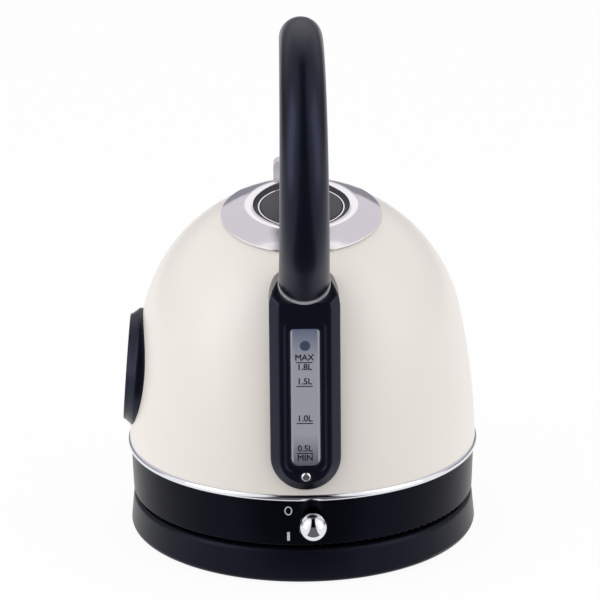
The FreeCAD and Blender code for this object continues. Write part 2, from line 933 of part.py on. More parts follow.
def make_bottom_cover():
    centre = dims.control_radius + dims.close_fit
    rest_low = dims.base_top + dims.free_fit
    rest_end = dims.rest_circle + dims.rest_width
    cover = turned("cover", [
        (centre, cover_low),
        (dims.rest_circle, cover_low),
        (dims.rest_circle, rest_low),
        (rest_end, rest_low),
        (rest_end, cover_low),
        (cover_radius, cover_low),
        (cover_radius, cover_high),
        (centre, cover_high),
    ])
    screws = []
    for angle in BOSS_ANGLES:
        hole = rod("hole", screw_hole, cover_low, cover_high)
        cover = cut(cover, on_circle(hole, boss_circle, angle))
        fastener = screw(dims.screw_radius, dims.screw_length, dims.screw_head_radius, dims.screw_head_height)
        screws.append(on_circle(fastener, boss_circle, angle, cover_low))
    keep("bottom_cover", cover)
    keep("cover_screws", group(*screws))


# Control under the heater: it takes the contacts from below and holds the trip rod's guide
def make_control():
    fit = dims.close_fit
    control = turned("control", [
        (0.0, blind_top),
        (dims.pin_radius + fit, blind_top),
        (dims.pin_radius + fit, cavity_roof),
        (ring_inside - fit, cavity_roof),
        (ring_inside - fit, blind_top),
        (dims.ring_radius + fit, blind_top),
        (dims.ring_radius + fit, cavity_roof),
        (dims.socket_radius + dims.connector_play, cavity_roof),
        (dims.socket_radius + dims.connector_play, cover_low),
        (dims.control_radius, cover_low),
        (dims.control_radius, control_flange_low),
        (dims.control_flange, control_flange_low),
        (dims.control_flange, control_top),
        (0.0, control_top),
    ])
    half = dims.guide_width * 0.5
    guide_x = (dims.lever_x - half, dims.lever_x + half)
    guide_y = (rod_y - dims.guide_end, -ball_at(dims.control_radius, half + dims.lever_x) + OVERRUN)
    guide_z = (dims.guide_height, dims.guide_height + dims.guide_thickness)
    control = fused(control, block(guide_x, guide_y, guide_z))
    rod_hole = rod("rod_hole", dims.rod_radius + fit, dims.guide_height - OVERRUN, guide_z[1] + OVERRUN)
    control = cut(control, place(rod_hole, dims.lever_x, rod_y))
    screws = []
    length = dims.control_flange_height + dims.disc_thickness + fit + dims.control_thread
    for angle in CONTROL_SCREW_ANGLES:
        hole = rod("hole", screw_hole, control_flange_low, control_top)
        control = cut(control, on_circle(hole, dims.control_screw_circle, angle))
        fastener = screw(dims.screw_radius, length, dims.screw_head_radius, dims.screw_head_height)
        screws.append(on_circle(fastener, dims.control_screw_circle, angle, control_flange_low))
    keep("control_body", control)
    keep("control_screws", group(*screws))
    discs = []
    for side in (-0.5, 0.5):
        disc = rod("disc", dims.disc_radius, control_top, control_top + dims.disc_thickness)
        discs.append(place(disc, side * dims.disc_spacing))
    keep("bimetal_discs", group(*discs))


# Switch: the ball lever turns on a pin inside the skirt and lifts the trip rod with its tail
pivot_reach = skirt_low_radius - dims.lever_inset
ball_reach = skirt_low_radius + dims.ball_gap + dims.ball_radius
rod_y = dims.rod_reach - pivot_reach
lever_side = dims.lever_width * 0.5 + dims.free_fit


def along_x(item):
    return place(item, dims.lever_x, -pivot_reach, dims.lever_height, (0, 1, 0), 90.0)


def along_lever(item):
    return place(item, dims.lever_x, 0.0, dims.lever_height, (1, 0, 0), 90.0)


def recess(inset, start):
    """The oblong space round the lever, from a reach outwards."""
    half = dims.recess_width * 0.5 - inset
    low = skirt_low + dims.recess_rise + inset
    high = trim_low - dims.recess_drop - inset
    outline = obround(half, low, high, dims.lever_x)
    return padded("recess", "XZ_Plane", [outline], skirt_top_radius + OVERRUN - start, start)


def make_lever():
    neck_end = ball_reach - ball_at(dims.ball_radius, dims.lever_spigot) - dims.close_fit
    arm = along_lever(turned("arm", [
        (0.0, pivot_reach),
        (dims.lever_neck, pivot_reach),
        (dims.lever_collar, neck_end),
        (dims.lever_spigot, neck_end),
        (dims.lever_spigot, ball_reach),
        (0.0, ball_reach),
    ]))
    half_width = dims.lever_width * 0.5
    hub = along_x(rod("hub", dims.lever_hub, -half_width, half_width))
    half_tail = dims.tail_width * 0.5
    half_thick = dims.tail_thickness * 0.5
    tail = block(
        (dims.lever_x - half_tail, dims.lever_x + half_tail),
        (-pivot_reach, dims.lever_tail - pivot_reach),
        (dims.lever_height - half_thick, dims.lever_height + half_thick),
    )
    fit = dims.close_fit
    bore = along_x(rod("bore", dims.lever_pin_radius + fit, -dims.lever_width, dims.lever_width))
    keep("lever_arm", cut(fused(arm, hub, tail), bore))

    knob = place(ball(dims.ball_radius), dims.lever_x, -ball_reach, dims.lever_height)
    spigot_hole = rod("spigot_hole", dims.lever_spigot + fit, pivot_reach, ball_reach + fit)
    keep("lever_ball", cut(knob, along_lever(spigot_hole)))

    rod_low = dims.lever_height + half_thick + dims.free_fit
    trip = rod("trip", dims.rod_radius, rod_low, rod_low + dims.rod_length)
    keep("trip_rod", place(trip, dims.lever_x, rod_y))


def make_switch_bracket():
    x = dims.lever_x
    outside = lever_side + dims.ear_sheet
    y = (-pivot_reach - dims.ear_half, dims.ear_half - pivot_reach)
    high = dims.lever_height + dims.ear_rise
    floor = block((x - outside, x + outside), y, (cover_high, cover_high + dims.ear_sheet))
    left = block((x - outside, x - lever_side), y, (cover_high, high))
    right = block((x + lever_side, x + outside), y, (cover_high, high))
    reach = outside + dims.lever_pin_end
    hole = along_x(rod("hole", dims.lever_pin_radius + dims.close_fit, -reach, reach))
    keep("switch_bracket", cut(fused(floor, left, right), hole))
    keep("lever_pin", along_x(rod("pin", dims.lever_pin_radius, -reach, reach)))


def make_switch_surround():
    start = skirt_low_radius - dims.recess_depth
    edge = rod("edge", skirt_low_radius, skirt_low, trim_low)
    cup = common(recess(dims.close_fit, start), edge)
    half = dims.slot_width * 0.5
    slot = block(
        (dims.lever_x - half, dims.lever_x + half),
        (-start - OVERRUN, OVERRUN - start),
        (dims.lever_height - dims.slot_fall, dims.lever_height + dims.slot_rise),
    )
    keep("switch_surround", cut(cup, recess(dims.recess_wall, start + dims.recess_wall), slot))


# Rear housing with the water window
seat_z = dims.seat_height
seat_y = face_base + dims.seat_height * face_slope + dims.seat_inset
lean_sine = sine(dims.rear_lean)
lean_cosine = cosine(dims.rear_lean)


def on_seat(item):
    """Own Z up along the rear end of the handle, from its seat on the housing."""
    return place(item, 0.0, seat_y, seat_z, (1, 0, 0), dims.rear_lean)


def bevelled(body, size):
    """Bevels the edges of the face at zero height of a padded piece."""
    doc.recompute()
    pad = body.Tip
    names = []
    for number, face in enumerate(pad.Shape.Faces, start=1):
        box = face.BoundBox
        if abs(box.ZMax) < dims.close_fit.value and abs(box.ZMin) < dims.close_fit.value:
            names.append("Face%d" % number)
    feature = body.newObject("PartDesign::Chamfer", "bevel")
    feature.Base = (pad, names)
    bind(feature, "Size", size)
    return body


def above_seat():
    """Everything above the handle's seat and the shoulder behind it."""
    ledge = dims.grip_rear_radius + dims.ferrule_lip + dims.shoulder_ledge
    inner_y = seat_y + ledge * lean_cosine
    inner_z = seat_z + ledge * lean_sine
    outer_y = seat_y - LONG_OVERRUN * lean_cosine
    outer_z = seat_z - LONG_OVERRUN * lean_sine
    outline = [
        (outer_y, outer_z),
        (inner_y, inner_z),
        (0.0, inner_z + inner_y),
        (0.0, dims.handle_top),
        (outer_y, dims.handle_top),
    ]
    return padded("above_seat", "YZ_Plane", [outline], dims.housing_width * 2.0, both_sides=True)


def window_outline(growth):
    return rounded_box(
        dims.window_width * 0.5 + growth,
        dims.window_low - growth,
        window_high + growth,
        dims.window_low_round,
        dims.window_high_round,
    )


def make_rear_housing():
    half = dims.housing_width * 0.5
    outline = obround(half, dims.housing_low, housing_high)
    block_body = padded("housing", "XY_Plane", [outline], -face_base, face_base)
    housing = on_face(bevelled(block_body, dims.housing_bevel))
    cavity_high = window_high + dims.window_flange + dims.cavity_rise
    hollow = obround(half - dims.housing_wall, dims.housing_low + dims.housing_wall, cavity_high)
    face = dims.housing_face
    head = dims.housing_screw_head
    sink = dims.housing_screw_sink
    screw_height = dims.window_low - dims.housing_screw_drop
    anchor_end = -dims.core_anchor - dims.free_fit
    housing = cut(
        housing,
        dome_block(dims.close_fit),
        above_seat(),
        face_slab("hollow", [hollow], face, OVERRUN - face_base),
        face_slab("opening", [window_outline(0.0)], -OVERRUN, face + OVERRUN),
        face_slab("bezel", [window_outline(dims.bezel_margin)], -OVERRUN, dims.bezel_depth),
        face_slab("sink", [(0.0, screw_height, head + dims.free_fit)], -OVERRUN, sink),
        face_slab("screw_hole", [(0.0, screw_height, screw_hole)], -OVERRUN, face + OVERRUN),
        on_seat(rod("anchor", dims.core_radius + dims.close_fit, anchor_end, OVERRUN)),
    )
    keep("rear_housing", housing)

    end = sink + dims.housing_screw_length + dims.free_fit
    stud = face_slab("stud", [(0.0, screw_height, dims.stud_radius)], face, -face_base)
    thread = face_slab("thread", [(0.0, screw_height, screw_hole)], 0.0, end)
    keep("housing_stud", cut(stud, thread, dome_block(dims.close_fit)))
    fastener = screw(dims.screw_radius, dims.housing_screw_length, head, dims.screw_head_height)
    y, z = face_spot(screw_height, sink)
    keep("housing_screw", place(fastener, 0.0, y, z, (-1, 0, 0), 90.0 + dims.face_lean))


def make_water_window():
    flange_end = dims.housing_face + dims.flange_thickness
    tank_end = flange_end + dims.tank_thickness
    channel_start = dims.window_recess + dims.window_wall
    plug = face_slab("plug", [window_outline(-dims.close_fit)], dims.window_recess, dims.housing_face)
    flange = face_slab("flange", [window_outline(dims.window_flange)], dims.housing_face, flange_end)
    channel = face_slab("channel", [window_outline(-dims.window_wall)], channel_start, flange_end)
    keep("water_window", cut(fused(plug, flange), channel))

    tank = face_slab("tank", [window_outline(dims.window_flange)], flange_end, tank_end)
    seals = []
    for height in PORT_HEIGHTS:
        end = port_end(height)
        nipple = face_slab("nipple", [(0.0, height, dims.port_radius)], tank_end, end)
        bore = face_slab("bore", [(0.0, height, dims.port_bore)], flange_end, end)
        tank = cut(fused(tank, nipple), bore)
        rings = [(0.0, height, dims.port_radius + rim) for rim in (dims.seal_rim, dims.close_fit)]
        seals.append(cut(face_slab("seal", rings, tank_end, end), dome_block(dims.close_fit)))
    keep("level_tank", tank)
    keep("port_seals", group(*seals))


# Handle: a tapering tube in two halves round a steel core, from the front bracket over to the housing
collar_inside = dims.dome_radius + dims.collar_gap
collar_outside = collar_inside + dims.collar_wall
bracket_reach = dims.collar_radius - dims.bracket_setback
bracket_rise = ball_at(collar_outside, bracket_reach)
front_y = bracket_reach * cosine(dims.lid_tilt) - bracket_rise * sine(dims.lid_tilt)
front_foot = dims.dome_centre + bracket_rise * cosine(dims.lid_tilt) + bracket_reach * sine(dims.lid_tilt)
front_z = front_foot + dims.bracket_height
arch_top = dims.handle_top - dims.grip_top_radius
arch_span = (front_y - seat_y) * lean_cosine + (arch_top - seat_z) * lean_sine
arch_radius = arch_span / (1.0 + lean_cosine + lean_sine)
arch_y = front_y - arch_radius
arch_z = arch_top - arch_radius


def handle_path(start, end):
    """The handle's centre line from a height at the front to a run past the seat at the rear."""
    return [
        (front_y, start),
        (front_y, arch_z),
        (arch_y, arch_top, arch_radius, "left"),
        (arch_y - arch_radius * lean_cosine, arch_z - arch_radius * lean_sine, arch_radius, "left"),
        (seat_y + end * lean_sine, seat_z - end * lean_cosine),
    ]


def handle_pipe(label, radii, start, end):
    body = new_body(label)
    path = handle_path(start, end)
    rear_turn = 180.0 - dims.rear_lean
    rings = [
        add_sketch(body, "XY_Plane", [(0.0, 0.0, radii[0])], (0.0, front_y, start)),
        add_sketch(body, "XY_Plane", [(0.0, 0.0, radii[1])], (0.0, arch_y, arch_top), 90.0),
        add_sketch(body, "XY_Plane", [(0.0, 0.0, radii[2])], (0.0,) + path[-1], rear_turn, (-1, 0, 0)),
    ]
    spine = add_sketch(body, "YZ_Plane", [path], closed=False)
    doc.recompute()
    feature = body.newObject("PartDesign::AdditivePipe", "pipe")
    feature.Profile = rings[0]
    feature.Spine = spine
    feature.Sections = rings[1:]
    feature.Transformation = "Multisection"
    return body


def inside_arch(start):
    outline = handle_path(start - OVERRUN, as_size(OVERRUN))
    return padded("inside_arch", "YZ_Plane", [outline], dims.grip_rear_radius * 4.0, both_sides=True)


def make_handle():
    grip_start = front_z + dims.ferrule_height
    grip_end = -dims.ferrule_height
    radii = (dims.grip_front_radius, dims.grip_top_radius, dims.grip_rear_radius)
    core_radii = (dims.core_radius,) * 3
    bore_radii = (dims.core_radius + dims.close_fit,) * 3
    grip = cut(
        handle_pipe("grip", radii, grip_start, grip_end),
        handle_pipe("core_space", bore_radii, front_z - OVERRUN, as_size(OVERRUN)),
    )
    keep("grip_outer", cut(grip, inside_arch(grip_start)))
    keep("grip_inner", common(grip, inside_arch(grip_start)))

    thread_end = dims.front_screw_grip + dims.free_fit
    thread = rod("thread", dims.front_screw_radius + dims.close_fit, -OVERRUN, thread_end)
    core = handle_pipe("core", core_radii, front_z, dims.core_anchor)
    keep("handle_core", cut(core, place(thread, 0.0, front_y, front_z)))

    core_hole = dims.core_radius + dims.close_fit
    rear = tube("rear", core_hole, dims.grip_rear_radius + dims.ferrule_lip, 0.0, dims.ferrule_height)
    keep("rear_ferrule", on_seat(rear))
    front = tube("front", core_hole, dims.grip_front_radius + dims.ferrule_lip, 0.0, dims.ferrule_height)
    keep("front_ferrule", place(front, 0.0, front_y, front_z))


def make_front_bracket():
    half = dims.bracket_width * 0.5
    inner = half - dims.bracket_leg
    corner = dims.bracket_round
    foot = front_foot - dims.bracket_width
    under = front_z - dims.bracket_bar
    outline = [
        (-half, foot),
        (-inner, foot),
        (-inner, under - corner),
        (corner - inner, under, corner, "right"),
        (inner - corner, under),
        (inner, under - corner, corner, "right"),
        (inner, foot),
        (half, foot),
        (half, front_z - corner),
        (half - corner, front_z, corner, "left"),
        (corner - half, front_z),
        (-half, front_z - corner, corner, "left"),
    ]
    bow = padded("bow", "XZ_Plane", [outline], dims.bracket_depth, -front_y, both_sides=True)
    seat = place(ball(collar_outside + dims.close_fit), 0.0, 0.0, dims.dome_centre)
    hole = rod("hole", dims.front_screw_radius + dims.close_fit, -dims.bracket_bar - OVERRUN, OVERRUN)
    keep("front_bracket", cut(bow, seat, place(hole, 0.0, front_y, front_z)))

    fastener = screw(
        dims.front_screw_radius,
        dims.bracket_bar + dims.front_screw_grip,
        dims.front_screw_head,
        dims.front_screw_head_height,
    )
    keep("front_screw", place(fastener, 0.0, front_y, under))


# Lid collar
lid_top = ball_at(collar_outside, dims.lip_radius)
lid_rim = lid_top - dims.lip_drop
neck_low = lid_top - dims.neck_depth
hinge_y = -dims.hinge_back
hinge_z = lid_top + dims.hinge_rise
hinge_half = dims.hinge_width * 0.5


def across_hinge(item):
    return place(item, 0.0, hinge_y, hinge_z, (0, 1, 0), 90.0)


def hinge_ear(side):
    """One of the two upright ears that carry the hinge pin, at a distance along X."""
    knuckle = dims.hinge_knuckle
    outline = [
        (hinge_y - knuckle, lid_top - dims.lip_crown),
        (hinge_y + knuckle, lid_top - dims.lip_crown),
        (hinge_y + knuckle, hinge_z),
        (hinge_y, hinge_z + knuckle, knuckle, "left"),
        (hinge_y - knuckle, hinge_z, knuckle, "left"),
    ]
    ear = padded("ear", "YZ_Plane", [outline], dims.hinge_ear, side)
    return cut(ear, ball(collar_inside))


def make_collar():
    """The collar's edge is undercut, so a dark line of shadow parts it from the dome."""
    edge_start = dims.collar_radius - dims.undercut_width
    edge_inside = collar_inside + dims.undercut_rise
    collar = turned("collar", [
        (dims.neck_radius, ball_at(collar_inside, dims.neck_radius)),
        (edge_start, ball_at(collar_inside, edge_start), collar_inside, "right"),
        (edge_start, ball_at(edge_inside, edge_start)),
        (dims.collar_radius, ball_at(edge_inside, dims.collar_radius), edge_inside, "right"),
        (dims.collar_radius, ball_at(collar_outside, dims.collar_radius)),
        (dims.lip_radius, lid_top, collar_outside, "left"),
        (dims.mouth_radius, lid_rim, dims.lip_crown, "left"),
        (dims.mouth_radius, lid_top - dims.seat_high),
        (dims.mouth_seat, lid_top - dims.seat_low),
        (dims.mouth_seat, neck_low),
        (dims.neck_radius, neck_low),
    ])
    start = hinge_half + dims.free_fit
    collar = fused(collar, hinge_ear(start), hinge_ear(-start - dims.hinge_ear))
    reach = start + dims.hinge_ear
    hole = across_hinge(rod("hole", dims.hinge_pin_radius + dims.close_fit, -reach, reach))
    keep("lid_collar", on_lid(cut(collar, hole)))
    keep("hinge_pin", on_lid(group(across_hinge(rod("pin", dims.hinge_pin_radius, -reach, reach)))))

    clamp_outside = dims.dome_radius - dims.shell_wall - dims.close_fit
    bore = dims.neck_radius + dims.close_fit
    rim = dims.neck_radius + dims.clamp_width
    low = ball_at(clamp_outside, rim) - dims.clamp_drop
    keep("collar_clamp", on_lid(turned("clamp", [
        (bore, low),
        (rim, low),
        (rim, ball_at(clamp_outside, rim)),
        (bore, ball_at(clamp_outside, bore), clamp_outside, "left"),
    ])))


# Lid: a plug with a funnel rim, a thin band, a push button on a disc spring and a leaf catch
lid_radius = dims.mouth_radius - dims.lid_play
lid_low = lid_rim - dims.lid_depth
band_outside = lid_radius - dims.funnel_width
band_top = lid_rim - dims.funnel_drop
band_low = band_top - dims.band_height
well_radius = band_outside - dims.band_width
well_floor = lid_rim - dims.lid_well_depth
stem_bore = dims.button_stem + dims.button_play
button_top = band_top + dims.button_rise
button_under = button_top - dims.button_plate


def plug_at(height):
    """Outside radius of the lid's plug at a height."""
    share = (height - lid_low) / dims.lid_depth
    return dims.lid_base_radius + share * (lid_radius - dims.lid_base_radius)


def make_lid():
    groove_low = lid_low + dims.lid_seal_low
    groove_high = groove_low + dims.lid_seal_height
    cup = turned("cup", [
        (stem_bore, lid_low),
        (dims.lid_base_radius, lid_low),
        (plug_at(groove_low), groove_low),
        (dims.lid_seal_inner, groove_low),
        (dims.lid_seal_inner, groove_high),
        (plug_at(groove_high), groove_high),
        (lid_radius, lid_rim),
        (band_outside, band_top),
        (band_outside, band_low),
        (well_radius, band_low),
        (well_radius, well_floor),
        (stem_bore, well_floor),
    ])
    foot_inside = dims.hinge_foot - dims.hinge_foot_depth
    foot_low = band_top + dims.close_fit
    arm = padded("arm", "YZ_Plane", [[
        (hinge_y, hinge_z - dims.hinge_arm),
        (-dims.hinge_foot, hinge_z - dims.hinge_arm),
        (-dims.hinge_foot, foot_low),
        (-foot_inside, foot_low),
        (-foot_inside, hinge_z + dims.hinge_arm),
        (hinge_y, hinge_z + dims.hinge_arm),
    ]], dims.hinge_width, both_sides=True)
    knuckle = across_hinge(rod("knuckle", dims.hinge_knuckle, -hinge_half, hinge_half))
    bore_radius = dims.hinge_pin_radius + dims.close_fit
    bore = across_hinge(rod("bore", bore_radius, -dims.hinge_width, dims.hinge_width))
    keep("lid_cup", on_lid(cut(fused(cup, arm, knuckle), bore)))

    keep("lid_ring", on_lid(tube("band", well_radius, band_outside - dims.close_fit, band_low, band_top)))
    seal_inside = dims.lid_seal_inner + dims.close_fit
    keep("lid_seal", on_lid(tube("seal", seal_inside, dims.lid_seal_outer, groove_low, groove_high)))


def make_lid_button():
    radius = well_radius - dims.button_play
    flat = radius - dims.button_edge
    crown = (flat * flat + dims.button_crown * dims.button_crown) / (2.0 * dims.button_crown)
    stem_low = lid_low + dims.stem_clearance
    keep("lid_button", on_lid(turned("button", [
        (0.0, stem_low),
        (dims.button_stem, stem_low),
        (dims.button_stem, button_under),
        (radius, button_under),
        (radius, button_top - dims.button_edge),
        (flat, button_top, dims.button_edge, "left"),
        (0.0, button_top + dims.button_crown, crown, "left"),
    ])))
    keep("button_spring", on_lid(turned("spring", [
        (dims.spring_outer - dims.spring_sheet, well_floor),
        (dims.spring_outer, well_floor),
        (dims.spring_inner + dims.spring_sheet, button_under),
        (dims.spring_inner, button_under),
    ])))


def make_lid_catch():
    nose_high = neck_low - dims.catch_gap
    nose_low = nose_high - dims.catch_sheet
    sheet_low = lid_low - dims.catch_sheet
    inner = dims.catch_reach - dims.catch_sheet
    strip = padded("strip", "YZ_Plane", [[
        (-dims.catch_root, sheet_low),
        (inner, sheet_low),
        (inner, nose_low),
        (dims.catch_nose, nose_low),
        (dims.catch_nose, nose_high),
        (dims.catch_reach, nose_high),
        (dims.catch_reach, lid_low),
        (-dims.catch_root, lid_low),
    ]], dims.catch_width, both_sides=True)
    keep("lid_catch", on_lid(strip))


# Thermometer on the side of the dome
gauge_inside = dims.gauge_face_radius - dims.gauge_rim
dial_top = dims.gauge_floor + dims.dial_thickness
lens_top = dims.lens_height + dims.lens_thickness


def make_gauge_case():
    """The case narrows from its foot on the dome to its face."""
    stem_hole = dims.stem_radius + dims.close_fit
    case = turned("case", [
        (stem_hole, -dims.gauge_skirt),
        (dims.gauge_radius, -dims.gauge_skirt),
        (dims.gauge_radius, dims.gauge_stand - dims.gauge_taper),
        (dims.gauge_face_radius, dims.gauge_stand - dims.gauge_round),
        (dims.gauge_face_radius - dims.gauge_round, dims.gauge_stand, dims.gauge_round, "left"),
        (gauge_inside, dims.gauge_stand),
        (gauge_inside, dims.gauge_floor),
        (stem_hole, dims.gauge_floor),
    ])
    keep("gauge_case", cut(at_gauge(case), dome_block(dims.close_fit)))


def make_gauge_face():
    radius = gauge_inside - dims.close_fit
    inside = gauge_inside - dims.gauge_bezel_width
    staff_hole = dims.staff_radius + dims.free_fit
    bezel_top = dims.gauge_stand - dims.gauge_bezel_sink
    keep("gauge_dial", at_gauge(tube("dial", staff_hole, radius, dims.gauge_floor, dial_top)))
    keep("gauge_spacer", at_gauge(tube("spacer", inside, radius, dial_top, dims.lens_height)))
    keep("gauge_lens", at_gauge(rod("lens", radius, dims.lens_height, lens_top)))
    keep("gauge_bezel", at_gauge(tube("bezel", inside, radius, lens_top, bezel_top)))


def make_gauge_needle():
    """The pointer at the angle it rests at, turned from straight up."""
    along_x_share = cosine(dims.needle_rest)
    along_y_share = sine(dims.needle_rest)
    half = dims.needle_width * 0.5
    outline = [
        (dims.needle_length * along_x_share, dims.needle_length * along_y_share),
        (-half * along_y_share, half * along_x_share),
        (-dims.needle_tail * along_x_share, -dims.needle_tail * along_y_share),
        (half * along_y_share, -half * along_x_share),
    ]
    needle_top = dims.needle_height + dims.needle_thickness
    pointer = padded("pointer", "XY_Plane", [outline], dims.needle_thickness, dims.needle_height)
    hub = rod("hub", dims.needle_hub, dims.needle_height, needle_top)
    bore = rod("bore", dims.staff_radius + dims.close_fit, dims.needle_height, needle_top)
    keep("gauge_needle", at_gauge(cut(fused(pointer, hub), bore)))


def make_gauge_stem():
    stem = turned("stem", [
        (0.0, -dims.stem_reach),
        (dims.stem_radius, -dims.stem_reach),
        (dims.stem_radius, dims.gauge_floor),
        (dims.staff_radius, dims.gauge_floor),
        (dims.staff_radius, dims.staff_top),
        (0.0, dims.staff_top),
    ])
    keep("gauge_stem", at_gauge(stem))
    corner = dims.nut_width / (2.0 * cosine(as_size(HEXAGON_HALF)))
    outline = [(corner * cosine(angle), corner * sine(angle)) for angle in around(6)]
    low = -dims.shell_wall - dims.nut_gap - dims.nut_height
    nut = padded("nut", "XY_Plane", [outline], dims.nut_height, low)
    hole = rod("hole", dims.stem_radius + dims.close_fit, low - OVERRUN, as_size(0.0))
    keep("gauge_nut", at_gauge(cut(nut, hole)))


make_base_housing()
make_base_plate()
make_socket()
make_inlet()
make_contacts()
make_shell()
make_spout()
make_trim_ring()
make_heater()
make_skirt()
make_bottom_cover()
make_control()
make_lever()
make_switch_bracket()
make_switch_surround()
make_rear_housing()
make_water_window()
make_handle()
make_front_bracket()
make_collar()
make_lid()
make_lid_button()
make_lid_catch()
make_gauge_case()
make_gauge_face()
make_gauge_needle()
make_gauge_stem()

# Nothing is written unless every object is sound
doc.recompute()
faults = [item.Name for item in doc.Objects if {"Invalid", "Error"} & set(item.State)]
for label, item in parts.items():
    if item.Shape.isNull() or not item.Shape.isValid() or not item.Shape.Solids:
        faults.append(label)
if faults:
    raise RuntimeError("faulty objects: %s" % ", ".join(faults))

os.makedirs("parts", exist_ok=True)
for label, item in parts.items():
    item.Shape.exportStep("parts/%s.step" % label)
print("%d pieces written" % len(parts))
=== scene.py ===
import json
import math

import bpy
from mathutils import Matrix, Vector


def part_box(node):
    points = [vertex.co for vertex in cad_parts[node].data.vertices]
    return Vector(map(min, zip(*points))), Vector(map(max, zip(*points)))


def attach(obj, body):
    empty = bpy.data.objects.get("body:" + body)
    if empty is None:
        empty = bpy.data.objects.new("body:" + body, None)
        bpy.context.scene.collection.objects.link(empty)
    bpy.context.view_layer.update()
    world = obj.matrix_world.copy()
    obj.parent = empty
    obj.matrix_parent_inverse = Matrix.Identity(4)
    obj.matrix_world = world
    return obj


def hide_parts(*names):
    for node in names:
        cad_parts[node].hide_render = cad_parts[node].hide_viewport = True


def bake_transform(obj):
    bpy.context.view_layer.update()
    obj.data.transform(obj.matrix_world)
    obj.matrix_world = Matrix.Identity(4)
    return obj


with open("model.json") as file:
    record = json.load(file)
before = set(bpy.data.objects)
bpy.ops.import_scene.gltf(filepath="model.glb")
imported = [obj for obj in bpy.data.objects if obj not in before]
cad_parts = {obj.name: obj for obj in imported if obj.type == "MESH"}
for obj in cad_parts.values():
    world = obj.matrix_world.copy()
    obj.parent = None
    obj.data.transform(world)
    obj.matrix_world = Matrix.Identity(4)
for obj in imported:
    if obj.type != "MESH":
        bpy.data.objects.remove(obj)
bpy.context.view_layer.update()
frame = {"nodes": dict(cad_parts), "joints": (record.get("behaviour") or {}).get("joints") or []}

# Power base and the kettle's bottom cover: moulded black ABS, with plate and cover screwed on from below.
# Their moulds were spark-eroded, which leaves a fine even grain that breaks up the highlight.
# The grain is drawn coarser than the real 0.1 mm, so that it shows.


def hex_colour(text):
    """An sRGB hex value as linear colour with full alpha."""
    shares = [int(text[spot:spot + 2], 16) / 255 for spot in (0, 2, 4)]
    return (*[s / 12.92 if s <= 0.04045 else ((s + 0.055) / 1.055) ** 2.4 for s in shares], 1.0)


def add_node(tree, kind, settings=None, links=None):
    """Adds one node. Settings go to its sockets or its own fields, links come from earlier sockets."""
    node = tree.nodes.new(kind)
    for name, value in (settings or {}).items():
        if isinstance(name, int) or name in node.inputs:
            node.inputs[name].default_value = value
        else:
            setattr(node, name, value)
    for name, source in (links or {}).items():
        tree.links.new(source, node.inputs[name])
    return node


def new_finish(name, **sockets):
    """A material with one Principled shader; gives the material, its tree, the shader and a place."""
    material = bpy.data.materials.new(name)
    material.use_nodes = True
    tree = material.node_tree
    shader = tree.nodes["Principled BSDF"]
    for socket, value in sockets.items():
        shader.inputs[socket.replace("_", " ")].default_value = value
    place = add_node(tree, "ShaderNodeTexCoord").outputs["Object"]
    return material, tree, shader, place


def dress(material, *names):
    """Gives CAD nodes this finish."""
    for name in names:
        slots = frame["nodes"][name].data.materials
        slots.clear()
        slots.append(material)


grain_mm = 0.7
grain_depth_mm = 0.1
mottle_mm = 18.0
cool_gloss = hex_colour("b6bff0")
eroded_abs, tree, shader, place = new_finish(
    "spark_eroded_abs", Roughness=0.32, IOR=1.5, Specular_IOR_Level=0.18, Specular_Tint=cool_gloss,
)
grain = add_node(tree, "ShaderNodeTexNoise", {"Scale": 1000 / grain_mm, "Detail": 3.0}, {"Vector": place})
mottle = add_node(tree, "ShaderNodeTexNoise", {"Scale": 1000 / mottle_mm}, {"Vector": place})
shade = add_node(tree, "ShaderNodeMix", {
    "data_type": "RGBA", 6: hex_colour("0a0b11"), 7: hex_colour("0e0f16"),
}, {0: mottle.outputs["Fac"]})
bump = add_node(tree, "ShaderNodeBump", {"Strength": 0.2, "Distance": grain_depth_mm / 1000}, {
    "Height": grain.outputs["Fac"],
})
tree.links.new(shade.outputs[2], shader.inputs["Base Color"])
tree.links.new(bump.outputs["Normal"], shader.inputs["Normal"])
dress(eroded_abs, "base_housing", "base_plate", "bottom_cover")

# Foot ring and cord grommet: moulded nitrile rubber, pressed into the base.
# The rubber is a dull black with fine pores and a slight grey bloom.
pore_mm = 1.2
pore_depth_mm = 0.2
nitrile, tree, shader, place = new_finish("nitrile_rubber", Roughness=0.8, IOR=1.52)
pores = add_node(tree, "ShaderNodeTexNoise", {"Scale": 1000 / pore_mm, "Detail": 4.0}, {"Vector": place})
bloom = add_node(tree, "ShaderNodeMix", {
    "data_type": "RGBA", 6: hex_colour("141414"), 7: hex_colour("232323"),
}, {0: pores.outputs["Fac"]})
bump = add_node(tree, "ShaderNodeBump", {"Strength": 0.3, "Distance": pore_depth_mm / 1000}, {
    "Height": pores.outputs["Fac"],
})
tree.links.new(bloom.outputs[2], shader.inputs["Base Color"])
tree.links.new(bump.outputs["Normal"], shader.inputs["Normal"])
dress(nitrile, "base_foot", "inlet_grommet")

